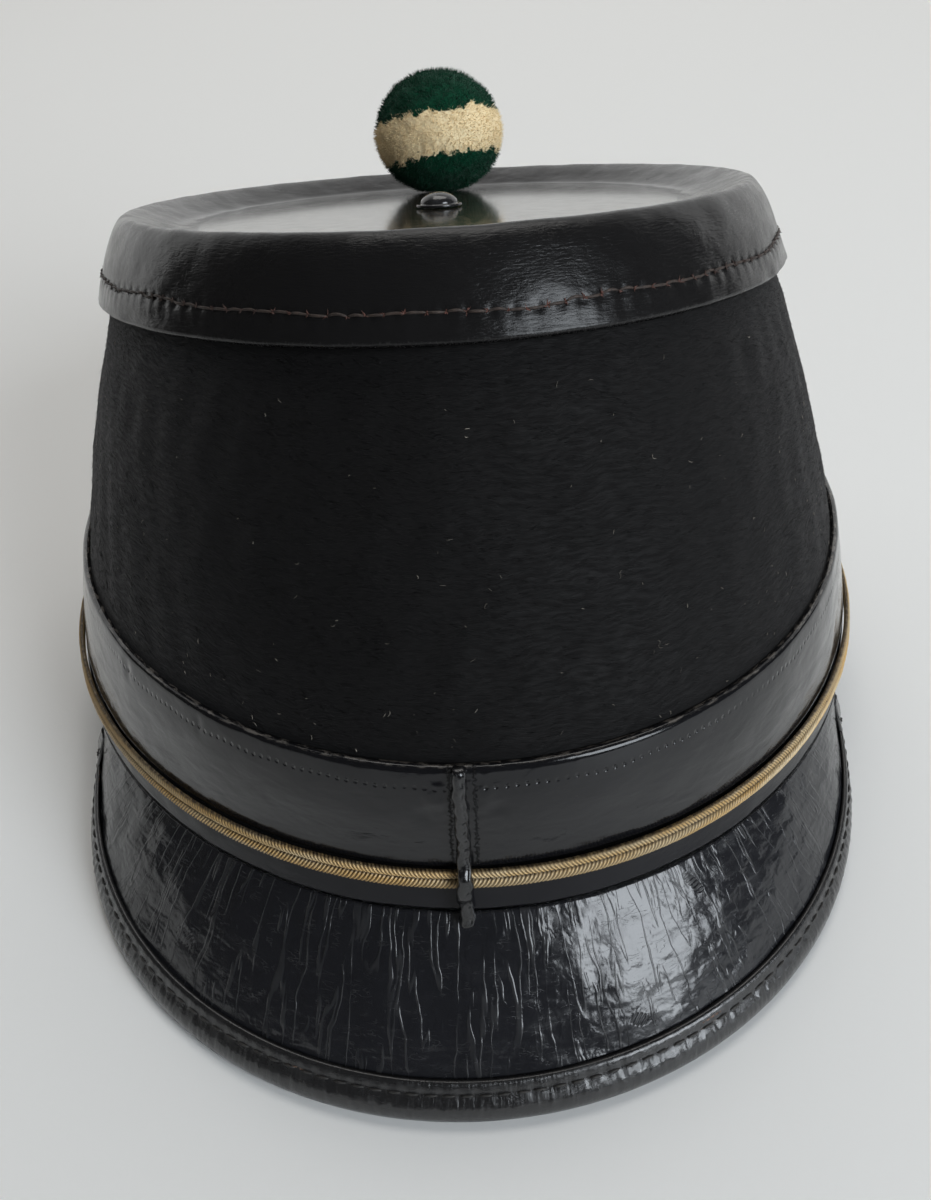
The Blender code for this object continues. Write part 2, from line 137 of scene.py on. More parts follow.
def grid_normals(points: Array, closed_rows: bool, closed_columns: bool) -> Array:
    """Normals of a grid of points: along the columns crossed with up the rows.

    Args:
        points: Grid of shape (rows, columns, 3).
        closed_rows: Whether the last row meets the first.
        closed_columns: Whether the last column meets the first.

    Returns:
        Unit normals of the same shape.
    """
    def slope(axis: int, closed: bool) -> Array:
        """Difference of neighbours along one axis.

        Args:
            axis: Axis of the grid.
            closed: Whether it closes on itself.

        Returns:
            The differences.
        """
        if closed:
            return np.roll(points, -1, axis=axis) - np.roll(points, 1, axis=axis)
        return np.gradient(points, axis=axis)

    return unit(np.cross(slope(1, closed_columns), slope(0, closed_rows)))


def grid_faces(rows: int, columns: int, closed_rows: bool, closed_columns: bool) -> Array:
    """Corner indices of the quads of a grid, one row for each quad.

    Args:
        rows: Rows of points.
        columns: Columns of points.
        closed_rows: Whether the last row meets the first.
        closed_columns: The same for the columns.

    Returns:
        Rows of four indices.
    """
    index = np.arange(rows * columns).reshape(rows, columns)
    if closed_columns:
        index = np.concatenate([index, index[:, :1]], axis=1)
    if closed_rows:
        index = np.concatenate([index, index[:1]], axis=0)
    quads = np.stack([index[:-1, :-1], index[:-1, 1:], index[1:, 1:], index[1:, :-1]], axis=-1)
    return quads.reshape(-1, 4)


def lay_corners(lay: Array, closed_rows: bool) -> Array:
    """Map places of the four corners of each quad, from a grid that has its closing column.

    Args:
        lay: Map of the grid.
        closed_rows: Whether the last row meets the first.

    Returns:
        Places of shape (quads, 4, 2).
    """
    if closed_rows:
        lay = np.concatenate([lay, lay[-1:] + (lay[-1:] - lay[-2:-1])], axis=0)
    quads = np.stack([lay[:-1, :-1], lay[:-1, 1:], lay[1:, 1:], lay[1:, :-1]], axis=-2)
    return quads.reshape(-1, 4, 2)


@dataclass
class Sheet:
    """Grid surface before it becomes a mesh.

    Attributes:
        points: Grid of shape (rows, columns, 3), on the level hat.
        lay: Map in millimetres, of shape (rows, columns, 2), with one column more if closed.
        closed_rows: Whether the last row meets the first.
        closed_columns: Whether the last column meets the first.
    """

    points: Array
    lay: Array
    closed_rows: bool = False
    closed_columns: bool = True

    def raised(self, amount: Array) -> "Sheet":
        """The sheet with every point moved along its normal.

        Args:
            amount: Distances, one for each point.

        Returns:
            The moved sheet.
        """
        normals = grid_normals(self.points, self.closed_rows, self.closed_columns)
        moved = self.points + amount[..., None] * normals
        return Sheet(moved, self.lay, self.closed_rows, self.closed_columns)


@dataclass(frozen=True)
class RestPose:
    """Where the level hat stands in the row frame: its foot's middle and its downward way."""

    foot: Array
    down: Array

    @classmethod
    def from_record(cls, record: dict) -> "RestPose":
        """The pose that the record's head opening states."""
        mount = next(one for one in record["mounts"] if one["name"] == "head_opening")
        return cls(np.array(mount["pos_m"]), unit(np.array(mount["axis"])))

    def matrix(self) -> Array:
        """Turn about X that takes the level hat's down to the stated way."""
        sine, cosine = self.down[1], -self.down[2]
        return np.array([[1.0, 0.0, 0.0], [0.0, cosine, -sine], [0.0, sine, cosine]])

    def place(self, points: Array) -> Array:
        """Level points in the row frame."""
        return points @ self.matrix().T + self.foot

    def turn(self, ways: Array) -> Array:
        """Level directions in the row frame."""
        return ways @ self.matrix().T


@dataclass(frozen=True)
class Oval:
    """Sloping oval section: half sizes, height at its middle, shift towards +Y, slope and egg."""

    half_width: float
    half_length: float
    height: float
    shift: float = 0.0
    slope: float = 0.0
    egg: float = 0.0
    turn: float = math.radians(3.5)

    def grown(self, out: float, up: float = 0.0) -> "Oval":
        """The oval moved out by a distance and up along its own axis."""
        shift = self.shift + up * math.tan(self.slope)
        return Oval(self.half_width + out, self.half_length + out, self.height + up, shift, self.slope,
                self.egg)

    def points(self, turns: Array) -> Array:
        """Points at turns counted from the peak's side towards +X.

        Args:
            turns: Turns in radians.

        Returns:
            Points on the level hat.
        """
        along = -np.cos(turns)
        across = self.half_width * np.sin(turns) * (1.0 + self.egg * along)
        length = self.half_length * along
        height = self.height - length * math.tan(self.slope)
        length = length + self.shift
        x = across * math.cos(self.turn) - length * math.sin(self.turn)
        y = across * math.sin(self.turn) + length * math.cos(self.turn)
        return np.stack([x, y, height], axis=-1)

    def at_bearings(self, bearings: Array) -> Array:
        """Points where the oval crosses bearings counted from -Y towards +X.

        Args:
            bearings: Bearings in radians.

        Returns:
            Points on the level hat.
        """
        turns = np.linspace(-math.pi, math.pi, 1441)
        points = self.points(turns)
        found = np.unwrap(np.arctan2(points[:, 0], -points[:, 1]))
        return self.points(np.interp(bearings, found, turns))


def smooth_table(share: float, places: Array, values: Array) -> float:
    """A table of values read as a curve that passes each row without a kink.

    Args:
        share: Where to read.
        places: Places of the rows.
        values: Their values.

    Returns:
        The value there.
    """
    slopes = np.gradient(values, places)
    row = int(np.clip(np.searchsorted(places, share) - 1, 0, len(places) - 2))
    span = places[row + 1] - places[row]
    t = (share - places[row]) / span
    start = (2 * t ** 3 - 3 * t ** 2 + 1) * values[row] + (t ** 3 - 2 * t ** 2 + t) * span * slopes[row]
    end = (3 * t ** 2 - 2 * t ** 3) * values[row + 1] + (t ** 3 - t ** 2) * span * slopes[row + 1]
    return float(start + end)


@dataclass(frozen=True)
class HatShape:
    """Driving sizes of the hat, as in the part, and the ovals worked out from them."""

    foot_half_width: float = 0.0870
    foot_half_length: float = 0.1033
    foot_egg: float = 0.054
    lid_half_width: float = 0.0632
    lid_half_length: float = 0.0769
    lid_height: float = 0.0904
    lid_shift: float = 0.0071
    lid_slope: float = math.radians(7.0)
    lid_egg: float = 0.076
    hem_flare: float = 0.0075
    hem_drop: float = 0.0146
    rim_width: float = 0.0110
    disc_sink: float = 0.0038
    felt: float = 0.0024
    leather: float = 0.0012
    lid_leather: float = 0.0016
    peak_leather: float = 0.0018
    gap: float = 0.0003
    hem_ease: float = 0.0012
    rim_ease: float = 0.0006
    crown_tuck: float = 0.0050
    band_top: float = 0.0303
    braid_height: float = 0.0077
    braid_width: float = 0.0040
    braid_depth: float = 0.0016
    braid_lap: float = 0.0004

    # height, width, length, shift and slope, as shares from the foot to the hem
    wall: tuple = (
        (0.00, 0.00, 0.00, 0.00, 0.00),
        (0.10, 0.05, 0.02, -0.02, 0.00),
        (0.40, 0.32, 0.07, -0.34, 0.00),
        (0.70, 0.61, 0.47, 0.28, 0.50),
        (1.00, 1.00, 1.00, 1.00, 1.00),
    )
    # share of the flare and share of the drop, from hem to crest
    hem: tuple = ((1.00, 1.00), (0.80, 0.70), (0.58, 0.42), (0.36, 0.19), (0.16, 0.055), (0.0, 0.0))
    # share of the rim's width and share of the sink, from crest to disc
    rim: tuple = ((0.14, 0.06), (0.40, 0.34), (0.78, 0.84), (1.0, 1.0))

    def crest(self, out: float = 0.0, up: float = 0.0) -> Oval:
        """Oval parallel to the lid's crest.

        Args:
            out: Distance outwards.
            up: Distance upwards.

        Returns:
            The oval.
        """
        oval = Oval(self.lid_half_width, self.lid_half_length, self.lid_height, self.lid_shift,
                self.lid_slope, self.lid_egg)
        return oval.grown(out, up)

    def flare(self, drop: float) -> float:
        """How far the lid's side stands out at a drop below the crest."""
        shares = np.array(self.hem[::-1])
        return float(np.interp(drop, shares[:, 1] * self.hem_drop, shares[:, 0] * self.hem_flare))

    def hem_felt(self) -> Oval:
        """Outside of the felt at the height of the lid's hem."""
        return self.crest(self.hem_flare - self.lid_leather - self.hem_ease, -self.hem_drop)

    def felt_oval(self, height: float) -> Oval:
        """Outside of the felt wall at a height between the foot and the hem.

        Args:
            height: Height above the foot.

        Returns:
            The oval.
        """
        top = self.hem_felt()
        places, width, length, shift, slope = np.array(self.wall).T
        share = height / top.height
        wide = smooth_table(share, places, width)
        long = smooth_table(share, places, length)
        lean = smooth_table(share, places, slope)
        return Oval(
            self.foot_half_width + (top.half_width - self.foot_half_width) * wide,
            self.foot_half_length + (top.half_length - self.foot_half_length) * long,
            height,
            top.shift * smooth_table(share, places, shift),
            top.slope * lean,
            self.foot_egg + (top.egg - self.foot_egg) * lean,
        )

    def trim_oval(self, height: float, out: float = 0.0) -> Oval:
        """Outside of the band and strip at a height, moved out by a distance."""
        return self.felt_oval(height).grown(self.gap + self.leather + out)

    def disc_height(self, place: float) -> float:
        """Height of the lid's disc on the middle line."""
        middle = self.crest(0.0, -self.disc_sink)
        return middle.height - (place - middle.shift) * math.tan(self.lid_slope)


def ring_sheet(ovals: Sequence[Oval], columns: int, closed_rows: bool) -> Sheet:
    """Sheet lofted through ovals, with a map of millimetres along the first and across the rows.

    Args:
        ovals: Sections in order, upwards on the outside.
        columns: Number of points round each section.
        closed_rows: Whether the sections close on themselves, as round a tube.

    Returns:
        The sheet, closed round its columns.
    """
    turns = np.linspace(0.0, 2.0 * math.pi, columns, endpoint=False)
    points = np.stack([oval.points(turns) for oval in ovals])
    first = np.concatenate([points[0], points[0][:1]])
    along = np.concatenate([[0.0], np.cumsum(np.linalg.norm(np.diff(first, axis=0), axis=1))])
    steps = np.linalg.norm(np.diff(points, axis=0), axis=-1).mean(axis=1)
    across = np.concatenate([[0.0], np.cumsum(steps)])
    lay = np.stack(np.broadcast_arrays(along[None, :], across[:, None]), axis=-1) / MM
    return Sheet(points, lay, closed_rows, True)


def fan(points: Array, first: bool) -> tuple[Array, Array]:
    """Closing triangles of a ring and their centre.

    Args:
        points: Grid whose first or last row is closed.
        first: Whether it is the first row.

    Returns:
        The centre point and index triples, where -1 stands for the centre.
    """
    rows, columns = points.shape[:2]
    here = np.arange(columns) + (0 if first else (rows - 1) * columns)
    after = np.roll(here, -1)
    centre = np.full(columns, -1)
    order = (after, here, centre) if first else (here, after, centre)
    return points[0 if first else -1].mean(axis=0), np.stack(order, axis=-1)


@dataclass
class Threads:
    """Many short pieces of one kind, as a block of points and faces.

    Attributes:
        points: Places of shape (count, points each, 3), on the level hat.
        faces: Faces of one piece, as rows of corner indices.
    """

    points: Array
    faces: Array

    def all_faces(self) -> Array:
        """Faces of every piece."""
        count, each = self.points.shape[:2]
        return (self.faces[None] + (np.arange(count) * each)[:, None, None]).reshape(-1,
                self.faces.shape[1])


def spikes(roots: Array, ways: Array, sides: Array, lengths: Array, widths: Array, bends: Array) -> Threads:
    """Closed three-sided hairs with one bend: a base ring, a ring half way and a tip.

    Args:
        roots: Root points.
        ways: Directions of growth.
        sides: Directions that the hairs lie across.
        lengths: Lengths.
        widths: Radii at the root.
        bends: Offsets of the tips.

    Returns:
        The hairs, ten triangles each.
    """
    ways = unit(ways)
    across = unit(np.cross(ways, sides))
    side = np.cross(across, ways)
    angles = np.arange(3) * 2.0 * math.pi / 3.0
    ring = np.cos(angles)[None, :, None] * side[:, None] + np.sin(angles)[None, :, None] * across[:, None]
    length, width = lengths[:, None, None], widths[:, None, None]
    base = roots[:, None] + width * ring
    middle = roots[:, None] + 0.5 * length * ways[:, None] + 0.25 * bends[:, None] + 0.72 * width * ring
    tip = roots[:, None] + length * ways[:, None] + bends[:, None]
    faces = [(0, 2, 1)]
    for corner in range(3):
        after = (corner + 1) % 3
        faces += [(corner, after, after + 3), (corner, after + 3, corner + 3), (corner + 3, after + 3, 6)]
    return Threads(np.concatenate([base, middle, tip], axis=1), np.array(faces))


def tubes(paths: Array, radii: Array, ups: Array, sides: int = 6) -> Threads:
    """Round threads that follow paths, with closed ends.

    Args:
        paths: Points of shape (count, steps, 3).
        radii: Radii of shape (steps,) or (count, steps).
        ups: Directions across the threads, of shape (count, 3).
        sides: Number of sides, an even number.

    Returns:
        The threads, as quads.
    """
    count, steps = paths.shape[:2]
    ahead = unit(np.gradient(paths, axis=1))
    side = unit(np.cross(ahead, ups[:, None]))
    rise = np.cross(side, ahead)
    angles = np.arange(sides) * 2.0 * math.pi / sides
    ring = (np.cos(angles)[:, None] * side[:, :, None] + np.sin(angles)[:, None] * rise[:, :, None])
    radii = np.broadcast_to(radii, (count, steps))[..., None, None]
    points = (paths[:, :, None] + radii * ring).reshape(count, steps * sides, 3)
    faces = grid_faces(steps, sides, False, True)[:, ::-1]
    last = (steps - 1) * sides
    ends = []
    for corner in range(1, sides - 2, 2):
        ends.append((0, corner, corner + 1, corner + 2))
        ends.append((last, last + corner + 2, last + corner + 1, last + corner))
    return Threads(points, np.concatenate([faces, np.array(ends)]))


@dataclass
class Bench:
    """Where pieces are finished: the hat's shape, its rest pose and what has been made."""

    shape: HatShape
    pose: RestPose
    made: list = field(default_factory=list)

    def enter(self, piece: bpy.types.Object, material: bpy.types.Material,
            nodes: Sequence[str] = ()) -> bpy.types.Object:
        """Dress a piece and make it ride on the hat.

        Args:
            piece: The piece's object.
            material: Its finish.
            nodes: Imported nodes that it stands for.

        Returns:
            The same object.
        """
        piece.data.materials.append(material)
        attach(piece, BODY)
        if nodes:
            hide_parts(*nodes)
        self.made.append(piece)
        LOG.info("%s: %d faces", piece.name, len(piece.data.polygons))
        return piece

    def sheet(self, name: str, sheet: Sheet, caps: str = "") -> bpy.types.Object:
        """Mesh of a sheet in the row frame.

        Args:
            name: Name of the piece.
            sheet: The sheet.
            caps: "fan" closes the first and last rows, "ends" the first and last columns.

        Returns:
            The object, without its finish.
        """
        points = sheet.points
        rows, columns = points.shape[:2]
        quads = grid_faces(rows, columns, sheet.closed_rows, sheet.closed_columns)
        corners = lay_corners(sheet.lay, sheet.closed_rows)
        flat = points.reshape(-1, 3)
        blocks = [(quads, corners)]
        flat_lay = sheet.lay[:, :columns].reshape(-1, 2)
        if caps == "fan":
            for first in (True, False):
                centre, triples = fan(points, first)
                triples = np.where(triples < 0, len(flat), triples)
                flat = np.concatenate([flat, centre[None]])
                flat_lay = np.concatenate([flat_lay, flat_lay[triples[:, 0]].mean(axis=0)[None]])
                blocks.append((triples, flat_lay[triples]))
        if caps == "ends":
            low = np.arange(rows // 2 - 1)
            pairs = np.stack([low, low + 1, rows - 2 - low, rows - 1 - low], axis=-1) * columns
            blocks.append((pairs, flat_lay[pairs]))
            far = (pairs + columns - 1)[:, ::-1]
            blocks.append((far, flat_lay[far]))
        return mixed_mesh(name, self.pose.place(flat), blocks)

    def threads(self, name: str, groups: Sequence[Threads],
            marks: Optional[dict[str, Array]] = None) -> bpy.types.Object:
        """One mesh of many short pieces in the row frame.

        Args:
            name: Name of the piece.
            groups: Blocks of threads.
            marks: Named values, one for each point.

        Returns:
            The object, without its finish.
        """
        points, faces, start = [], [], 0
        for group in groups:
            points.append(group.points.reshape(-1, 3))
            faces.append(group.all_faces() + start)
            start += len(points[-1])
        blocks = [(block, None) for block in faces]
        return mixed_mesh(name, self.pose.place(np.concatenate(points)), blocks, marks)


def mixed_mesh(name: str, points: Array, blocks: Sequence[tuple[Array, Optional[Array]]],
        marks: Optional[dict[str, Array]] = None) -> bpy.types.Object:
    """Mesh object from blocks of faces, each block with one number of sides.

    Args:
        name: Name of the object.
        points: Places in the row frame.
        blocks: Pairs of corner indices and map places for each corner, or None without a map.
        marks: Named values, one for each point.

    Returns:
        The object, linked to the scene and shaded smooth.
    """
    mesh = bpy.data.meshes.new(name)
    corners = np.concatenate([faces.ravel() for faces, _ in blocks]).astype(np.int32)
    sides = np.concatenate([np.full(len(faces), faces.shape[1]) for faces, _ in blocks])
    starts = np.concatenate([[0], np.cumsum(sides)[:-1]]).astype(np.int32)
    mesh.vertices.add(len(points))
    mesh.vertices.foreach_set("co", points.astype(np.float32).ravel())
    mesh.loops.add(len(corners))
    mesh.loops.foreach_set("vertex_index", corners)
    mesh.polygons.add(len(sides))
    mesh.polygons.foreach_set("loop_start", starts)
    mesh.polygons.foreach_set("use_smooth", np.ones(len(sides), dtype=bool))
    mesh.update(calc_edges=True)
    if blocks[0][1] is not None:
        lay = np.concatenate([places.reshape(-1, 2) for _, places in blocks])
        mesh.uv_layers.new(name=LAY).data.foreach_set("uv", lay.astype(np.float32).ravel())
    for mark, values in (marks or {}).items():
        mesh.attributes.new(mark, "FLOAT", "POINT").data.foreach_set("value",
                values.astype(np.float32).ravel())
    mesh.validate()
    made = bpy.data.objects.new(name, mesh)
    bpy.context.scene.collection.objects.link(made)
    return made


@dataclass
class Sampler:
    """Reads points, normals and directions anywhere on a closed sheet."""

    sheet: Sheet

    def read(self, row: Array, column: Array) -> tuple[Array, Array, Array]:
        """Point, outward normal and direction along the columns at broken grid places.

        Args:
            row: Rows, with fractions.
            column: Columns, with fractions.

        Returns:
            Points, normals and directions.
        """
        points = self.sheet.points
        rows, columns = points.shape[:2]
        low = np.clip(np.floor(row).astype(int), 0, rows - 2)
        left = np.floor(column).astype(int) % columns
        right = (left + 1) % columns
        down, across = (row - low)[:, None], (column - np.floor(column))[:, None]
        a, b = points[low, left], points[low, right]
        c, d = points[low + 1, left], points[low + 1, right]
        place = (a * (1 - across) + b * across) * (1 - down) + (c * (1 - across) + d * across) * down
        along = unit((b - a) * (1 - down) + (d - c) * down)
        rise = (c - a) * (1 - across) + (d - b) * across
        return place, unit(np.cross(along, rise)), along


class Value:
    """Output of a node, with signs for the usual sums."""

    def __init__(self, nodes: "Nodes", socket: bpy.types.NodeSocket) -> None:
        """Keep the nodes and the output socket."""
        self.nodes, self.socket = nodes, socket

    def __add__(self, other: object) -> "Value":
        """Sum."""
        return self.nodes.math("ADD", self, other)

    def __radd__(self, other: object) -> "Value":
        """Sum with a number or socket on the left."""
        return self.nodes.math("ADD", other, self)

    def __sub__(self, other: object) -> "Value":
        """Difference."""
        return self.nodes.math("SUBTRACT", self, other)

    def __rsub__(self, other: object) -> "Value":
        """Difference from a number or socket on the left."""
        return self.nodes.math("SUBTRACT", other, self)

    def __mul__(self, other: object) -> "Value":
        """Product."""
        return self.nodes.math("MULTIPLY", self, other)

    def __truediv__(self, other: object) -> "Value":
        """Quotient."""
        return self.nodes.math("DIVIDE", self, other)

    def __abs__(self) -> "Value":
        """Size without its sign."""
        return self.nodes.math("ABSOLUTE", self)


class Nodes:
    """Short ways to lay out the nodes of one finish."""

    def __init__(self, name: str, colour: Sequence[float] = (0.02, 0.02, 0.02), roughness: float = 0.5,
            **sockets: float) -> None:
        """Start a Principled finish.

        Args:
            name: Name of the material.
            colour: Base colour.
            roughness: Roughness.
            sockets: Other shader sockets, with underscores for spaces.
        """
        self.material = bpy.data.materials.new(name)
        self.material.use_nodes = True
        self.tree = self.material.node_tree
        self.shader = self.tree.nodes["Principled BSDF"]
        self.shader.inputs["Base Color"].default_value = (*colour, 1.0)
        self.shader.inputs["Roughness"].default_value = roughness
        for socket, value in sockets.items():
            target = self.shader.inputs[socket.replace("_", " ")]
            target.default_value = (*value, 1.0) if isinstance(value, tuple) else value

    def new(self, kind: str, **settings: object) -> bpy.types.Node:
        """Add a node and set its options.

        Args:
            kind: Type of the node.
            settings: Its options.

        Returns:
            The node.
        """
        node = self.tree.nodes.new(kind)
        for option, value in settings.items():
            setattr(node, option, value)
        return node

    def put(self, socket: bpy.types.NodeSocket, value: object) -> None:
        """Link a socket or set its value.

        Args:
            socket: Input to feed.
            value: What feeds it.
        """
        value = value.socket if isinstance(value, Value) else value
        if isinstance(value, bpy.types.NodeSocket):
            self.tree.links.new(value, socket)
        else:
            socket.default_value = value

    def lay(self) -> Value:
        """Map of millimetres along and across the piece."""
        return Value(self, self.new("ShaderNodeUVMap", uv_map=LAY).outputs["UV"])

    def place(self) -> Value:
        """Object coordinates in metres."""
        return Value(self, self.new("ShaderNodeTexCoord").outputs["Object"])

    def mark(self, name: str) -> Value:
        """Value stored on the points of the piece."""
        return Value(self, self.new("ShaderNodeAttribute", attribute_name=name).outputs["Fac"])

    def scaled(self, vector: object, scale: Sequence[float], turn: float = 0.0,
            shift: Sequence[float] = (0.0, 0.0, 0.0)) -> Value:
        """Vector moved, turned and scaled.

        Args:
            vector: Vector to change.
            scale: Scales of its parts.
            turn: Turn about the third axis.
            shift: Way it is moved.

        Returns:
            The new vector.
        """
        node = self.new("ShaderNodeMapping")
        self.put(node.inputs["Vector"], vector)
        node.inputs["Scale"].default_value = scale
        node.inputs["Rotation"].default_value = (0.0, 0.0, turn)
        node.inputs["Location"].default_value = shift
        return Value(self, node.outputs["Vector"])

    def noise(self, vector: object, scale: float = 1.0, detail: float = 3.0, roughness: float = 0.5,
            distortion: float = 0.0) -> Value:
        """Noise value about 0.5.

        Args:
            vector: Where it is read.
            scale: How fine it is.
            detail: Octaves.
            roughness: Strength of finer octaves.
            distortion: How much it swirls.

        Returns:
            The noise.
        """
        node = self.new("ShaderNodeTexNoise")
        self.put(node.inputs["Vector"], vector)
        node.inputs["Scale"].default_value = scale
        node.inputs["Detail"].default_value = detail
        node.inputs["Roughness"].default_value = roughness
        node.inputs["Distortion"].default_value = distortion
        return Value(self, node.outputs["Fac"])

    def grain(self, vector: object, scale: tuple[float, float], turn: float = 0.0, detail: float = 3.0,
            roughness: float = 0.5, distortion: float = 0.0) -> Value:
        """Noise of the map, turned and stretched."""
        return self.noise(self.scaled(vector, (*scale, 1.0), turn), 1.0, detail, roughness, distortion)

    def cells(self, vector: object) -> Value:
        """Distance to the nearest point of a cell pattern.

        Args:
            vector: Where it is read.

        Returns:
            The distance.
        """
        node = self.new("ShaderNodeTexVoronoi")
        self.put(node.inputs["Vector"], vector)
        node.inputs["Scale"].default_value = 1.0
        return Value(self, node.outputs["Distance"])

    def math(self, operation: str, first: object, second: object = 0.0, third: object = 0.0,
            clamp: bool = False) -> Value:
        """Math node.

        Args:
            operation: Its name.
            first: First operand.
            second: Second operand.
            third: Third operand.
            clamp: Whether the result is held within 0 and 1.

        Returns:
            The result.
        """
        node = self.new("ShaderNodeMath", operation=operation, use_clamp=clamp)
        for socket, value in zip(node.inputs, (first, second, third)):
            self.put(socket, value)
        return Value(self, node.outputs["Value"])

    def span(self, value: object, low: float, high: float, to_low: float = 0.0,
            to_high: float = 1.0) -> Value:
        """Value read smoothly from one range into another and held there.

        Args:
            value: Value to read.
            low: Start of its range.
            high: End of its range.
            to_low: Result at the start.
            to_high: Result at the end.

        Returns:
            The result.
        """
        node = self.new("ShaderNodeMapRange", interpolation_type="SMOOTHSTEP")
        self.put(node.inputs["Value"], value)
        for socket, number in zip(("From Min", "From Max", "To Min", "To Max"),
                (low, high, to_low, to_high)):
            node.inputs[socket].default_value = number
        return Value(self, node.outputs["Result"])

    def parts(self, vector: object) -> list[Value]:
        """The three parts of a vector.

        Args:
            vector: The vector.

        Returns:
            Its parts.
        """
        node = self.new("ShaderNodeSeparateXYZ")
        self.put(node.inputs["Vector"], vector)
        return [Value(self, output) for output in node.outputs]

    def join(self, x: object, y: object, z: object = 0.0) -> Value:
        """Vector from three parts.

        Args:
            x: First part.
            y: Second part.
            z: Third part.

        Returns:
            The vector.
        """
        node = self.new("ShaderNodeCombineXYZ")
        for socket, value in zip(node.inputs, (x, y, z)):
            self.put(socket, value)
        return Value(self, node.outputs["Vector"])

    def blend(self, share: object, first: object, second: object) -> Value:
        """Mix of two colours.

        Args:
            share: Share of the second colour.
            first: First colour.
            second: Second colour.

        Returns:
            The mixed colour.
        """
        node = self.new("ShaderNodeMix", data_type="RGBA")
        self.put(node.inputs["Factor"], share)
        self.put(node.inputs[6], self.full(first))
        self.put(node.inputs[7], self.full(second))
        return Value(self, node.outputs[2])

    @staticmethod
    def full(colour: object) -> object:
        """Colour with its fourth value, or the socket as it is."""
        return (*colour, 1.0) if isinstance(colour, tuple) and len(colour) == 3 else colour

    def colour(self, value: object) -> None:
        """Link the base colour."""
        self.put(self.shader.inputs["Base Color"], value)

    def rough(self, value: object) -> None:
        """Link the roughness."""
        self.put(self.shader.inputs["Roughness"], value)

    def bumps(self, *layers: tuple[object, float]) -> None:
        """Stack of heights in millimetres, each with its strength.

        Args:
            layers: Pairs of a height and how many millimetres its range stands for.
        """
        normal = None
        for height, depth in layers:
            node = self.new("ShaderNodeBump")
            node.inputs["Strength"].default_value = 1.0
            node.inputs["Distance"].default_value = depth * MM
            self.put(node.inputs["Height"], height)
            if normal is not None:
                self.put(node.inputs["Normal"], normal)
            normal = node.outputs["Normal"]
        self.put(self.shader.inputs["Normal"], normal)


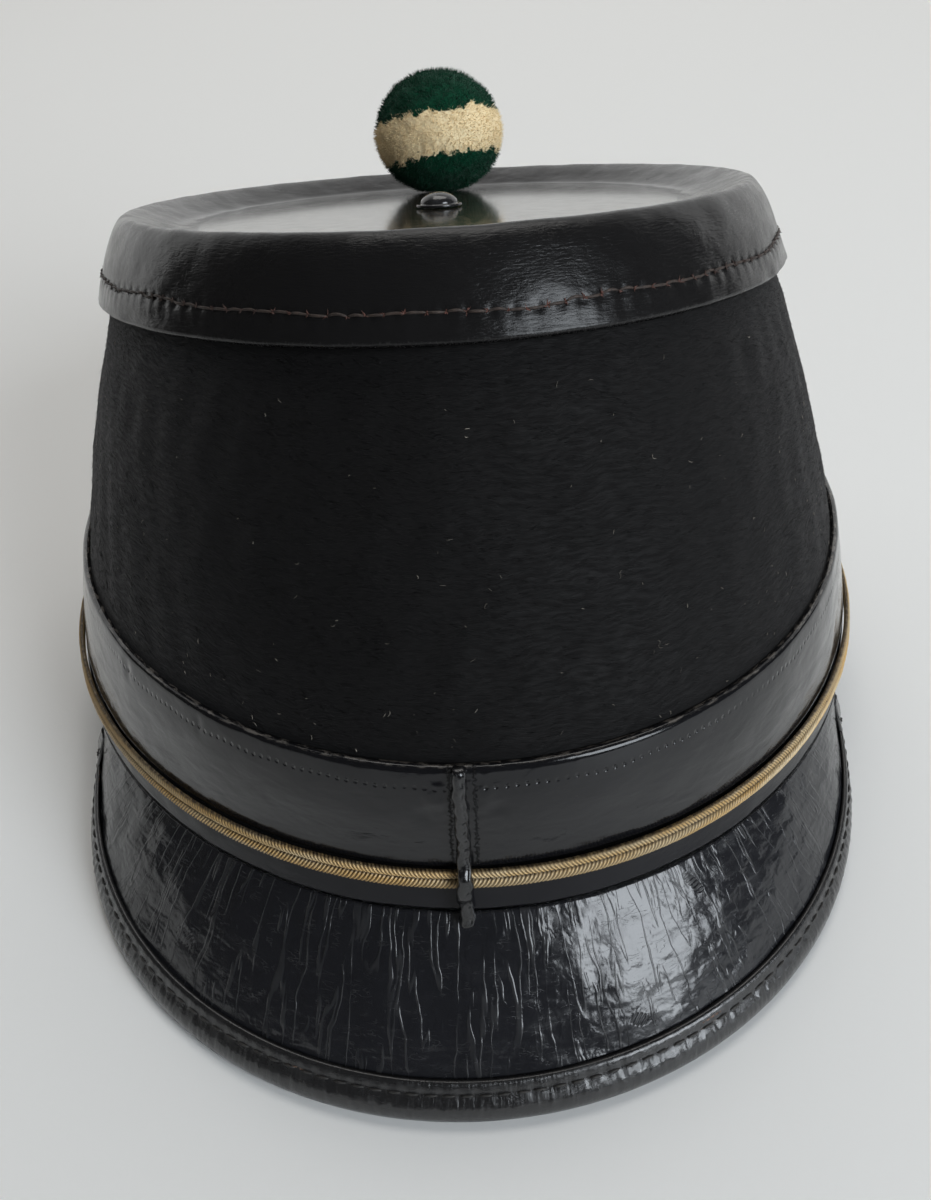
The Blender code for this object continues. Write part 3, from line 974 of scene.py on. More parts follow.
@dataclass
class FeltCrown:
    """Felt wall with its combed nap and the lint caught in it."""

    columns: int = 480
    rows: int = 60
    unevenness: float = 0.00011
    hairs: int = 19000
    hair_length: tuple[float, float] = (0.0012, 0.0030)
    hair_radius: float = 0.000036
    specks: int = 420
    speck_length: tuple[float, float] = (0.00025, 0.0010)
    speck_radius: tuple[float, float] = (0.000020, 0.000045)
    outside: Optional[Sheet] = None

    def wall(self, shape: HatShape) -> Sheet:
        """Felt wall: ovals up the outside, in over the hidden top edge and down the inside.

        Args:
            shape: The hat's sizes.

        Returns:
            The sheet, closed both ways.
        """
        top = shape.hem_felt().height
        heights = np.linspace(0.0, top, self.rows)
        tuck = shape.flare(shape.crown_tuck) - shape.lid_leather - shape.rim_ease - shape.hem_ease / 2
        outer = [shape.felt_oval(height) for height in heights] + [shape.crest(tuck, -shape.crown_tuck)]
        inner = [oval.grown(-shape.felt) for oval in outer[::-1][::3]] + [outer[0].grown(-shape.felt)]
        sheet = ring_sheet(outer + inner, self.columns, True)
        u, v = sheet.lay[:, :-1, 0], sheet.lay[:, :-1, 1]
        free = smooth_step(shape.band_top / MM, shape.band_top / MM + 6.0, v)
        free = free * (1.0 - smooth_step(top / MM - 4.0, top / MM, v)) * (v < top / MM)
        amount = waves(u, v, float(sheet.lay[0, -1, 0]), 11, 24, 9.0, 45.0) * self.unevenness * free
        return sheet.raised(amount)

    def nap(self, shape: HatShape, seed: int) -> Threads:
        """Hairs combed round the crown: random roots, ways along the wall with a small slant.

        Args:
            shape: The hat's sizes.
            seed: Seed of the random draws.

        Returns:
            The hairs.
        """
        draw = np.random.default_rng(seed)
        low = shape.band_top / shape.hem_felt().height * (self.rows - 1) + 0.4
        row = draw.uniform(low, self.rows - 2.0, self.hairs)
        column = draw.uniform(0.0, self.columns, self.hairs)
        roots, out, along = Sampler(self.outside).read(row, column)
        slant = draw.normal(-0.16, 0.16, self.hairs)
        lift = np.abs(draw.normal(0.05, 0.07, self.hairs))
        up = np.cross(out, along)
        ways = unit(along + slant[:, None] * up + lift[:, None] * out)
        lengths = draw.uniform(*self.hair_length, self.hairs)
        bends = lengths[:, None] * (draw.normal(0.0, 0.10, self.hairs)[:, None] * up - 0.03 * out)
        widths = self.hair_radius * draw.uniform(0.7, 1.3, self.hairs)
        return spikes(roots - 0.00003 * out, ways, out, lengths, widths, bends)

    def lint(self, shape: HatShape) -> Threads:
        """Short curled fibres on the felt, closer together near the band.

        Args:
            shape: The hat's sizes.

        Returns:
            The fibres.
        """
        draw = np.random.default_rng(17)
        low = shape.band_top / shape.hem_felt().height * (self.rows - 1) + 0.5
        share = draw.uniform(0.0, 1.0, self.specks) ** 1.6
        roots, out, along = Sampler(self.outside).read(
            low + share * (self.rows - 3.0 - low), draw.uniform(0.0, self.columns, self.specks))
        heading = draw.uniform(0.0, 2.0 * math.pi, self.specks)[:, None]
        up = np.cross(out, along)
        ways = np.cos(heading) * along + np.sin(heading) * up
        side = np.cos(heading) * up - np.sin(heading) * along
        steps = np.linspace(-0.5, 0.5, 5)[None, :, None]
        length = draw.uniform(*self.speck_length, self.specks)[:, None, None]
        curl = draw.normal(0.0, 0.35, self.specks)[:, None, None]
        paths = roots[:, None] + 0.00014 * out[:, None] + length * (
            steps * ways[:, None] + curl * (steps ** 2) * 2.0 * side[:, None])
        radii = draw.uniform(*self.speck_radius, self.specks)[:, None] * np.array([0.5, 1.0, 1.0, 1.0, 0.5])
        return tubes(paths, radii, out, 4)

    def build(self, bench: Bench) -> None:
        """Make the wall, the nap and the lint.

        Args:
            bench: Where pieces are finished.
        """
        self.outside = self.wall(bench.shape)
        felt = FeltFinish().material()
        bench.enter(bench.sheet("felt_wall", self.outside), felt, ["crown"])
        nap = NapFinish().material()
        for number, seed in enumerate((21, 22), start=1):
            bench.enter(bench.threads(f"felt_nap_{number}", [self.nap(bench.shape, seed)]), nap)
        bench.enter(bench.threads("felt_lint", [self.lint(bench.shape)]), LintFinish().material())


def rounded_line(points: Array, times: int) -> Array:
    """Line with its corners cut off at quarters, several times over, and its ends kept.

    Args:
        points: Points of the line.
        times: How often.

    Returns:
        The smoother line.
    """
    for _ in range(times):
        near = 0.75 * points[:-1] + 0.25 * points[1:]
        far = 0.25 * points[:-1] + 0.75 * points[1:]
        middle = np.stack([near, far], axis=1).reshape(-1, points.shape[1])
        points = np.concatenate([points[:1], middle, points[-1:]])
    return points


def even_line(points: Array, steps: int) -> Array:
    """Line read again at even distances.

    Args:
        points: Points of the line.
        steps: Number of points.

    Returns:
        The even points.
    """
    lengths = np.linalg.norm(np.diff(points, axis=0), axis=1)
    places = np.concatenate([[0.0], np.cumsum(lengths)])
    even = np.linspace(0.0, places[-1], steps)
    return np.stack([np.interp(even, places, column) for column in points.T], axis=-1)


@dataclass
class LeatherLid:
    """Lid of waxed leather: hanging side, round crest, inner slope, sunk disc and its sewing."""

    columns: int = 960
    side_rows: int = 46
    slope_rows: int = 22
    disc_rows: int = 12
    stitch_pitch: float = 0.0035
    stitch_rise: float = 0.0052
    thread: float = 0.00021
    fray_length: float = 0.00085
    fray_radius: float = 0.00017
    button_radius: float = 0.0048
    button_height: float = 0.0028
    button_flange: float = 0.0005
    button_place: float = 0.0107
    side: Optional[Sheet] = None

    def profile(self, shape: HatShape) -> Array:
        """Outline from the hem up over the crest to the disc, as (out, up) pairs.

        Args:
            shape: The hat's sizes.

        Returns:
            The pairs, at even distances.
        """
        hem = [(out * shape.hem_flare, -drop * shape.hem_drop) for out, drop in shape.hem]
        rim = [(-inside * shape.rim_width, -sink * shape.disc_sink) for inside, sink in shape.rim]
        line = rounded_line(np.array(hem + rim + [(-shape.rim_width - 0.003, -shape.disc_sink)]), 3)
        return even_line(line, self.side_rows + self.slope_rows)

    def shell(self, shape: HatShape) -> Sheet:
        """Whole lid as one shell: out under the disc, down the inside, round the hem and back over the top.

        Args:
            shape: The hat's sizes.

        Returns:
            The sheet; its first and last rows close on the middle of the disc.
        """
        outer = self.profile(shape)
        along = unit(np.gradient(outer, axis=0))
        inward = np.stack([-along[:, 1], along[:, 0]], axis=-1)
        inner = (outer + shape.lid_leather * inward)[::-1][::4]
        lip = outer[:1] + 0.5 * shape.lid_leather * (inward[:1] - 0.5 * along[:1])
        edge = shape.crest(*outer[-1])
        under = shape.crest(outer[-1][0], outer[-1][1] - shape.lid_leather)
        shares = np.linspace(0.0, 1.0, self.disc_rows + 1)[1:]

        def disc(rim: Oval, share: float) -> Oval:
            """Oval of the same plane, smaller about the same middle."""
            return Oval(rim.half_width * share, rim.half_length * share, rim.height, rim.shift, rim.slope,
                    rim.egg)

        ovals = [disc(under, share) for share in (0.04, 0.35, 0.7)]
        ovals += [shape.crest(out, up) for out, up in inner]
        ovals += [shape.crest(out, up) for out, up in lip]
        ovals += [shape.crest(out, up) for out, up in outer]
        ovals += [disc(edge, share) for share in shares[::-1][1:]] + [disc(edge, 0.02)]
        sheet = ring_sheet(ovals, self.columns, False)
        start = 3 + len(inner) + len(lip)
        round_hem = sheet.points[start]
        closed = np.concatenate([round_hem, round_hem[:1]])
        along_hem = np.concatenate([[0.0], np.cumsum(np.linalg.norm(np.diff(closed, axis=0), axis=1))]) / MM
        sheet.lay[..., 0] = along_hem[None, :]
        sheet.lay[..., 1] -= sheet.lay[start, 0, 1]
        return self.worked(sheet, start)

    def worked(self, sheet: Sheet, start: int) -> Sheet:
        """Press the stitch holes and the puckers under them into the side, and let the leather wave.

        Args:
            sheet: The plain shell.
            start: Row of the hem's outer edge.

        Returns:
            The shell with its surface worked.
        """
        u, v = sheet.lay[:, :-1, 0], sheet.lay[:, :-1, 1]
        period = float(sheet.lay[0, -1, 0])
        count = round(period * MM / self.stitch_pitch)
        line = self.stitch_rise / MM
        side = (np.arange(len(u)) >= start)[:, None]
        seam = self.seam(u, period)
        beat = 0.5 - 0.5 * np.cos(2.0 * math.pi * u * count / period)
        holes = (1.0 - beat) ** 3 * bump_at(v, line + seam, 0.75)
        tuft = bump_at(v, line + seam - 1.6, 1.5) * (beat ** 2)
        below = smooth_step(0.0, line - 0.6, v) * (1.0 - smooth_step(line - 0.9, line, v))
        folds = waves(u, v * 0.25, period, 6, 18, 1.2, 5.0) * below
        groove = bump_at(v, line + seam, 0.5)
        wave = waves(u, v, period, 7, 26, 7.0, 34.0) * (v < 30.0)
        edge = waves(u, v * 0.0, period, 8, 12, 6.0, 30.0) * (1.0 - smooth_step(0.0, 3.0, v)) * (v > -1.0)
        amount = -0.20 * holes + 0.05 * tuft + 0.018 * folds - 0.05 * groove + 0.032 * wave + 0.06 * edge
        fade = 1.0 - smooth_step(26.0, 32.0, v)
        return sheet.raised(amount * MM * side * fade)

    @staticmethod
    def seam(u: Array, period: float) -> Array:
        """How far the stitch line strays upwards, in millimetres: lower in front, and uneven."""
        front = np.where(u > period / 2, u - period, u)
        return 0.25 * waves(u, u * 0.0, period, 5, 8, 20.0, 90.0) - 1.3 * np.exp(-(front / 55.0) ** 2)

    def stitches(self) -> tuple[Threads, Threads, Array]:
        """Lock stitches round the side: a slack thread from hole to hole and a knot at each hole.

        Returns:
            The threads, the frayed knots and, for each knot, how reddish it is.
        """
        draw = np.random.default_rng(31)
        sheet = self.side
        period = float(sheet.lay[0, -1, 0])
        count = round(period * MM / self.stitch_pitch)
        line = self.stitch_rise / MM
        column = (np.arange(count) + draw.normal(0.0, 0.05, count)) * self.columns / count
        rows = sheet.lay[:, 0, 1]
        seam = self.seam(column * period / self.columns, period)
        first = int(np.argmax(rows >= 0.0))
        row = np.interp(line + seam, rows[first:], np.arange(first, len(rows)))
        steps = 7
        share = np.linspace(0.0, 1.0, steps)
        after = np.concatenate([column[1:], column[:1] + self.columns])
        across = column[:, None] * (1 - share) + after[:, None] * share
        up = row[:, None] * (1 - share) + np.roll(row, -1)[:, None] * share
        up = up + draw.normal(0.0, 0.35, count)[:, None] * np.sin(math.pi * share)
        flat, out, _ = Sampler(sheet).read(up.ravel(), across.ravel())
        paths = flat.reshape(count, steps, 3)
        outs = out.reshape(count, steps, 3)
        lift = self.thread * (-0.6 + 1.5 * np.sin(math.pi * share)) * draw.uniform(0.7, 1.4, count)[:, None]
        radii = self.thread * (0.8 + 0.25 * np.sin(math.pi * share))
        threads = tubes(paths + lift[..., None] * outs, radii, outs[:, 3])
        place, out, along = Sampler(sheet).read(row, column)
        rise = np.cross(out, along)
        frays = 7
        heading = draw.uniform(0.0, 2.0 * math.pi, (count, frays))
        ways = (np.cos(heading)[..., None] * along[:, None] + np.sin(heading)[..., None] * rise[:, None]
                + draw.uniform(0.2, 1.2, (count, frays, 1)) * out[:, None])
        size = draw.uniform(0.35, 1.0, (count, frays)) * self.fray_length
        outs = np.repeat(out, frays, axis=0)
        knots = spikes(np.repeat(place, frays, axis=0) - 0.0001 * outs, ways.reshape(-1, 3), outs,
                size.ravel(), np.full(count * frays, self.fray_radius),
                draw.normal(0.0, 0.00018, (count * frays, 3)))
        bearing = np.arctan2(place[:, 0], -place[:, 1])
        red = bump_at(bearing, 0.12, 0.45)
        return threads, knots, np.repeat(np.repeat(red, frays), knots.points.shape[1])

    def button(self, shape: HatShape) -> Sheet:
        """Low dome on a thin flange: a quarter circle turned about the disc's upright.

        Args:
            shape: The hat's sizes.

        Returns:
            The sheet.
        """
        rise = self.button_height - self.button_flange
        arc = np.linspace(math.pi / 2, 0.06, 20)
        flange = [0.3, 0.985, 1.0, 1.0, 0.985, 0.86]
        radius = np.concatenate([flange, 0.82 * np.sin(arc)]) * self.button_radius
        dome = self.button_flange + 0.00006 + rise * np.cos(arc)
        height = np.concatenate([[0.0, 0.0, 0.00008, 0.00038, 0.0005, 0.00052], dome])
        return turned(radius, height, 72, self.seat(shape, self.button_place, shape.gap))

    @staticmethod
    def seat(shape: HatShape, place: float, above: float) -> tuple[Array, Array]:
        """Middle and frame of something that stands on the disc, on the middle line.

        Args:
            shape: The hat's sizes.
            place: Place on the middle line.
            above: Height above the disc.

        Returns:
            The middle and the frame.
        """
        slope = shape.lid_slope
        frame = np.array([[1.0, 0.0, 0.0], [0.0, math.cos(slope), math.sin(slope)],
                [0.0, -math.sin(slope), math.cos(slope)]])
        return np.array([0.0, place, shape.disc_height(place) + above]), frame

    def build(self, bench: Bench) -> None:
        """Make the lid, its sewing and its button.

        Args:
            bench: Where pieces are finished.
        """
        self.side = self.shell(bench.shape)
        shell = bench.enter(bench.sheet("lid_shell", self.side, "fan"), LidFinish().material(),
                ["lid"])
        # the disc's copy of the leather has a lighter, warmer base colour; that lightness is partly painted
        # reflection of the pale surroundings, besides its higher gloss and coat
        polished = LidFinish("lid_disc_leather", colour=(0.0280, 0.0250, 0.0190), gloss=0.55, coat=0.42)
        shell.data.materials.append(polished.material())
        rows = len(self.side.points)
        row = np.arange(len(shell.data.polygons)) // self.columns
        flat = (row >= rows - 1 - self.disc_rows) & (row != rows - 1)
        shell.data.polygons.foreach_set("material_index", flat.astype(np.int32))
        threads, knots, red = self.stitches()
        marks = {"red": np.concatenate([np.zeros(threads.points.shape[0] * threads.points.shape[1]), red])}
        bench.enter(bench.threads("lid_stitches", [threads, knots], marks), ThreadFinish().material())
        bench.enter(bench.sheet("lid_dome", self.button(bench.shape), "fan"), DomeFinish().material(),
                ["lid_button"])


def turned(radius: Array, height: Array, columns: int, seat: tuple[Array, Array]) -> Sheet:
    """Surface turned about an upright: circles of the given radii at the given heights.

    Args:
        radius: Radii in order, upwards on the outside.
        height: Heights above the seat.
        columns: Number of points round.
        seat: Middle and frame of the upright.

    Returns:
        The sheet, closed round its columns.
    """
    middle, frame = seat
    turns = np.linspace(0.0, 2.0 * math.pi, columns, endpoint=False)
    ring = np.stack([np.sin(turns), -np.cos(turns)], axis=-1)
    flat = radius[:, None, None] * ring
    up = np.broadcast_to(height[:, None, None], flat.shape[:2] + (1,))
    points = np.concatenate([flat, up], axis=-1) @ frame.T + middle
    around = np.linspace(0.0, 2.0 * math.pi, columns + 1) * radius.max()
    across = np.concatenate([[0.0], np.cumsum(np.hypot(np.diff(radius), np.diff(height)))])
    lay = np.stack(np.broadcast_arrays(around[None, :], across[:, None]), axis=-1) / MM
    return Sheet(points, lay, False, True)


@dataclass
class FootTrim:
    """Lacquered band and strip, the braid over their joint and the welt down the middle."""

    columns: int = 1024
    band_rows: int = 44
    braid_columns: int = 4096
    thread_pitch: float = 0.00068
    braid_stitch: float = 0.00135
    seam_width: float = 0.0024
    seam_depth: float = 0.0015
    seam_rise: float = 0.0006
    seam_overhang: float = 0.0024
    peak_slant: float = 0.0172 / 0.0288
    braid: Optional[Sheet] = None

    def strap(self, shape: HatShape, low: float, high: float, rows: int, seed: int, wave: float) -> Sheet:
        """Leather strap round the foot: up the outside with rounded edges and down the inside.

        Args:
            shape: The hat's sizes.
            low: Height of its lower edge.
            high: Height of its upper edge.
            rows: Rows up the outside.
            seed: Seed of its unevenness.
            wave: Depth of its unevenness in millimetres.

        Returns:
            The sheet, closed both ways, with its map counted up from the lower edge.
        """
        round_off = 0.00022
        heights = np.linspace(low, high, rows)
        edge = np.minimum(heights - low, high - heights)
        inset = round_off * (1.0 - np.sqrt(1.0 - (1.0 - np.clip(edge / round_off, 0.0, 1.0)) ** 2))
        outer = [shape.trim_oval(height, -back) for height, back in zip(heights, inset)]
        inner = [shape.trim_oval(height, -shape.leather) for height in np.linspace(high, low, 8)]
        sheet = ring_sheet(outer + inner, self.columns, True)
        u, v = sheet.lay[:, :-1, 0], sheet.lay[:, :-1, 1]
        outside = (np.arange(len(u)) < rows)[:, None]
        amount = wave * waves(u, v, float(sheet.lay[0, -1, 0]), seed, 30, 5.0, 40.0, 1.6)
        amount = amount + self.scars(u, v, float(sheet.lay[0, -1, 0]), high - low)
        return sheet.raised(amount * MM * outside)

    @staticmethod
    def scars(u: Array, v: Array, period: float, height: float) -> Array:
        """Dents and torn places of the band near its joint, in millimetres out.

        Args:
            u: Places along, in millimetres.
            v: Places up from the lower edge.
            period: Length round the strap.
            height: Height of the strap, in metres.

        Returns:
            Distances in millimetres.
        """
        if height < 0.01:
            return u * 0.0
        middle = np.where(u > period / 2, u - period, u) + JOINT_AT
        total = 0.0 * u
        # along from the joint, up from the lower edge, width, height and depth
        for along, up, wide, tall, depth in ((-4.2, 15.8, 2.0, 1.6, 0.28), (-6.2, 13.0, 1.6, 1.8, -0.22),
                (3.4, 16.0, 1.3, 2.1, 0.30), (5.6, 14.4, 1.8, 1.2, -0.24), (-73.2, 18.2, 1.5, 1.7, -0.34),
                (-73.2, 18.2, 3.0, 2.8, 0.14), (-49.2, 18.6, 0.8, 1.6, -0.16)):
            total = total + depth * np.exp(-((middle - along) / wide) ** 2 - ((v - up) / tall) ** 2)
        near = np.exp(-(middle / 7.5) ** 2) * smooth_step(9.0, 14.0, v)
        return total + near * 0.05 * waves(u, v, period, 43, 24, 0.9, 3.0)

    def braid_sheet(self, shape: HatShape) -> Sheet:
        """Braid of two round ridges with slanted threads that meet in a chevron.

        The depth over the leather is a rounded ridge each side of a groove, and the threads are a
        sine of the place along the braid plus or minus the distance from the groove.

        Args:
            shape: The hat's sizes.

        Returns:
            The sheet, closed both ways.
        """
        across = np.concatenate([np.linspace(-1.0, 1.0, 17), np.array([0.6, -0.6])])
        outside = np.arange(len(across)) < 17
        ridge = np.sqrt(np.clip(1.0 - ((np.abs(across) - 0.52) / 0.50) ** 2, 0.0, 1.0))
        depth = np.where(outside, 0.10 + 0.90 * ridge, 0.0)
        ovals = []
        for place, out in zip(across, depth):
            height = shape.braid_height + place * shape.braid_width / 2
            ovals.append(shape.trim_oval(height, shape.gap + out * shape.braid_depth * 0.70))
        sheet = ring_sheet(ovals, self.braid_columns, True)
        sheet.lay[..., 1] = (across * shape.braid_width / 2 / MM)[:, None]
        u, v = sheet.lay[:, :-1, 0], sheet.lay[:, :-1, 1]
        period = float(sheet.lay[0, -1, 0])
        count = round(period * MM / self.thread_pitch)
        weave = np.sin(2.0 * math.pi * (u * count / period + np.abs(v)))
        loose = 0.35 * waves(u, v, period, 51, 24, 1.0, 8.0)
        amount = (0.11 * weave + 0.04 * loose) * MM * outside[:, None] * (ridge[:, None] * 0.8 + 0.2)
        return sheet.raised(amount)

    def braid_stitches(self) -> Threads:
        """Dark running stitches that lie in the groove of the braid.

        Returns:
            The stitches.
        """
        draw = np.random.default_rng(53)
        period = float(self.braid.lay[0, -1, 0])
        count = round(period * MM / self.braid_stitch)
        share = np.linspace(-0.30, 0.30, 4)
        centre = np.arange(count) + draw.normal(0.0, 0.06, count)
        stretch = draw.uniform(0.7, 1.2, count)[:, None]
        column = (centre[:, None] + share * stretch) * self.braid_columns / count
        row = np.full(column.size, 8.0) + np.repeat(draw.normal(0.0, 0.35, count), 4)
        flat, out, _ = Sampler(self.braid).read(row, column.ravel())
        lift = 0.00010 + 0.00009 * np.cos(share / 0.30 * math.pi / 2)
        paths = flat.reshape(count, 4, 3) + lift[None, :, None] * out.reshape(count, 4, 3)
        radii = np.array([0.00010, 0.00017, 0.00017, 0.00010])
        return tubes(paths, radii, out.reshape(count, 4, 3)[:, 1])

    def welt(self, shape: HatShape) -> Sheet:
        """Narrow welt: a rounded section carried from the peak's root up over the braid to the band's top.

        Args:
            shape: The hat's sizes.

        Returns:
            The sheet.
        """
        over = shape.gap + shape.braid_depth + shape.gap
        half = shape.braid_width / 2
        stations = np.array([
            (-self.seam_overhang * 0.45, over * 0.5 + self.peak_slant * self.seam_overhang * 0.45),
            (-self.seam_overhang * 0.1, over * 0.5 + self.peak_slant * self.seam_overhang * 0.1),
            (shape.braid_height - half - 0.45 * shape.braid_width, over * 0.45),
            (shape.braid_height - half * 1.2, over * 0.9),
            (shape.braid_height - half * 0.8, over),
            (shape.braid_height + half * 0.8, over),
            (shape.braid_height + half * 1.2, over * 0.9),
            (shape.braid_height + half + 0.55 * shape.braid_width, shape.gap),
            ((shape.band_top + shape.braid_height) / 2, shape.gap),
            (shape.band_top + self.seam_rise, shape.gap),
        ])
        line = even_line(rounded_line(stations, 2), 130)
        front = np.stack([
            shape.trim_oval(max(height, 0.0), out).at_bearings(np.array([0.0]))[0] for height, out in line])
        turns = np.linspace(0.0, 2.0 * math.pi, 40, endpoint=False)
        across = -np.sign(np.cos(turns)) * np.abs(np.cos(turns)) ** 0.62
        depth = np.where(np.sin(turns) > 0.0, np.abs(np.sin(turns)) ** 0.7, -0.02)
        level = np.linspace(0.0, 1.0, len(line))[:, None]
        place = line[:, 0][:, None] / MM
        sway = 0.10 * np.sin(place * 0.9) + 0.07 * np.sin(place * 2.3 + 1.0)
        sway = sway - 0.25 * bump_at(place, 5.0, 4.0)
        swell = 1.0 + 0.04 * np.sin(place * 1.7 + 0.4) - 0.10 * level + 0.16 * bump_at(place, 6.5, 2.5)
        taper = np.minimum(1.0, np.minimum(level, 1.0 - level) / 0.012) ** 0.5 * 0.3 + 0.7
        x = (across[None, :] * self.seam_width / 2 * swell * taper) + sway * MM
        crease = 1.0 - 0.22 * bump_at(across[None, :] - 0.45, 0.0, 0.16) * (0.6 + 0.4 * np.sin(place * 3.1))
        y = front[:, 1][:, None] - depth[None, :] * self.seam_depth * taper * crease
        z = np.broadcast_to(line[:, 0][:, None], x.shape)
        points = np.stack([x, y, z], axis=-1)
        around = np.linspace(0.0, 7.0, len(turns) + 1)
        lay = np.stack(np.broadcast_arrays(around[None, :], place), axis=-1)
        return Sheet(points, lay, False, True)

    def build(self, bench: Bench) -> None:
        """Make the band, the strip, the braid with its stitches and the welt.

        Args:
            bench: Where pieces are finished.
        """
        shape = bench.shape
        lacquer = LacquerFinish().material()
        low = shape.braid_height + shape.braid_width / 2 - shape.braid_lap
        band = self.strap(shape, low, shape.band_top, self.band_rows, 41, 0.055)
        finish = BandFinish(length=float(band.lay[0, -1, 0])).material()
        bench.enter(bench.sheet("lacquered_band", band), finish, ["band"])
        high = shape.braid_height - shape.braid_width / 2 + shape.braid_lap
        strip = self.strap(shape, 0.0, high, 18, 42, 0.045)
        bench.enter(bench.sheet("lacquered_strip", strip), lacquer, ["lower_strip"])
        self.braid = self.braid_sheet(shape)
        length = float(self.braid.lay[0, -1, 0])
        gold = BraidFinish(pitch=length / round(length * MM / self.thread_pitch)).material()
        bench.enter(bench.sheet("gold_braid", self.braid), gold, ["braid"])
        stitches = bench.threads("braid_stitches", [self.braid_stitches()])
        bench.enter(stitches, ThreadFinish(name="braid_thread", colour=(0.035, 0.022, 0.012)).material())
        bench.enter(bench.sheet("middle_welt", self.welt(shape), "fan"), WeltFinish().material(),
                ["seam_strip"])


@dataclass
class Peak:
    """Steep crescent of patent leather with a rolled and sewn edge."""

    drop: float = 0.0288
    front: float = 0.1222
    half_width: float = 0.0802
    centre: float = 0.0432
    reach: float = math.radians(56.0)
    sweep: float = math.radians(95.0)
    bow: float = 0.0010
    corner_power: float = 7.0
    binding_width: float = 0.0065
    binding_leather: float = 0.0008
    binding_start: float = 0.09
    columns: int = 520
    rows: int = 64
    stitch_pitch: float = 0.0031

    def points(self, shape: HatShape, side: Array, fall: Array) -> Array:
        """Outer face at shares of the half length and of the fall.

        A point lies on the straight line from the root under the strip to the free edge, which is an
        ellipse from above and lies in the plane of rest, with a slight bow outwards.

        Args:
            shape: The hat's sizes.
            side: Shares of the half length, from -1 to 1.
            fall: Shares of the fall, from the root at 0 to the edge at 1.

        Returns:
            Points on the level hat.
        """
        root = shape.felt_oval(0.0).grown(shape.gap + shape.leather).at_bearings(side * self.reach)
        root[..., 2] = -shape.gap
        sweep = side * self.sweep
        x = self.half_width * np.sin(sweep)
        y = -self.centre - (self.front - self.centre) * np.cos(sweep)
        far = shape.foot_half_length + shape.gap + shape.leather
        height = -self.drop * (far - y) / (far + self.front)
        away = np.stack([np.sin(sweep), -np.cos(sweep), np.zeros_like(sweep)], axis=-1)
        bow = (4.0 * self.bow * fall * (1.0 - fall))[..., None] * away
        return root + fall[..., None] * (np.stack([x, y, height], axis=-1) - root) + bow

    def rounded(self, side: Array, fall: Array) -> tuple[Array, Array]:
        """Shares with the corners of their square pulled in to a rounded outline.

        Args:
            side: Shares of the half length.
            fall: Shares of the fall.

        Returns:
            The new shares.
        """
        reach = np.maximum(np.maximum(np.abs(side), fall), 1e-9)
        spread = (np.abs(side) / reach) ** self.corner_power + (fall / reach) ** self.corner_power
        pull = np.maximum(spread, 1.0) ** (-1.0 / self.corner_power)
        return side * pull, fall * pull

    def slopes(self, shape: HatShape, side: Array, fall: Array) -> tuple[Array, Array, Array]:
        """Directions along the half length and along the fall, and the normal.

        Args:
            shape: The hat's sizes.
            side: Shares of the half length.
            fall: Shares of the fall.

        Returns:
            Both directions and the unit normal.
        """
        step = 0.0001
        along = (self.points(shape, side + step, fall) - self.points(shape, side - step, fall)) / (2 * step)
        down = (self.points(shape, side, fall + step) - self.points(shape, side, fall - step)) / (2 * step)
        return along, down, unit(np.cross(down, along))

    def face(self, shape: HatShape) -> Sheet:
        """Leather of the peak: up the outer face and back down the inner face.

        Args:
            shape: The hat's sizes.

        Returns:
            The sheet, closed over its rows, with its map along the edge and down the fall.
        """
        even = np.linspace(-1.0, 1.0, self.columns)
        columns = 0.6 * even + 0.4 * np.sin(even * math.pi / 2)
        falls = np.linspace(1.0, 0.0, self.rows)
        side, fall = np.meshgrid(columns, falls)
        side, fall = self.rounded(side, fall)
        outer = self.points(shape, side, fall)
        normal = self.slopes(shape, side, fall)[2]
        length = self.half_width * self.sweep
        u, v = side * length / MM, fall * 35.0
        period = 2.0 * length / MM * 1.5
        soft = waves(u, v, period, 61, 30, 9.0, 42.0) * 0.085
        folds = waves(u, v * 0.22, period, 62, 34, 2.6, 9.0) * 0.012
        free = smooth_step(0.0, 0.12, fall) * (1.0 - smooth_step(0.74, 0.84, fall))
        free = free * (1.0 - smooth_step(0.86, 0.95, np.abs(side)))
        outer = outer + ((soft + folds) * free * MM)[..., None] * normal
        inner = (self.points(shape, side, fall) - shape.peak_leather * normal)[::-1]
        points = np.concatenate([outer, inner])
        lay = np.stack([np.concatenate([u, u[::-1]]), np.concatenate([v, 80.0 - v[::-1]])], axis=-1)
        return Sheet(points, lay, True, False)

    def edge(self, shape: HatShape, count: int) -> tuple[Array, Array, Array, Array]:
        """Even stations along the free edge: shares, outward ways and lengths along it.

        Args:
            shape: The hat's sizes.
            count: Number of stations.

        Returns:
            Both shares, outward ways and lengths.
        """
        fine = np.linspace(-1.0, 1.0, 1201)
        start = np.linspace(self.binding_start, 1.0, 240)[:-1]
        side = np.concatenate([-np.ones_like(start), fine, np.ones_like(start)])
        fall = np.concatenate([start, np.ones_like(fine), start[::-1]])
        side, fall = self.rounded(side, fall)
        points = self.points(shape, side, fall)
        lengths = np.concatenate([[0.0], np.cumsum(np.linalg.norm(np.diff(points, axis=0), axis=1))])
        even = np.linspace(0.0, lengths[-1], count)
        side, fall = np.interp(even, lengths, side), np.interp(even, lengths, fall)
        points = self.points(shape, side, fall)
        normal = self.slopes(shape, side, fall)[2]
        ahead = unit(np.gradient(points, axis=0))
        return side, fall, unit(np.cross(ahead, normal)), even

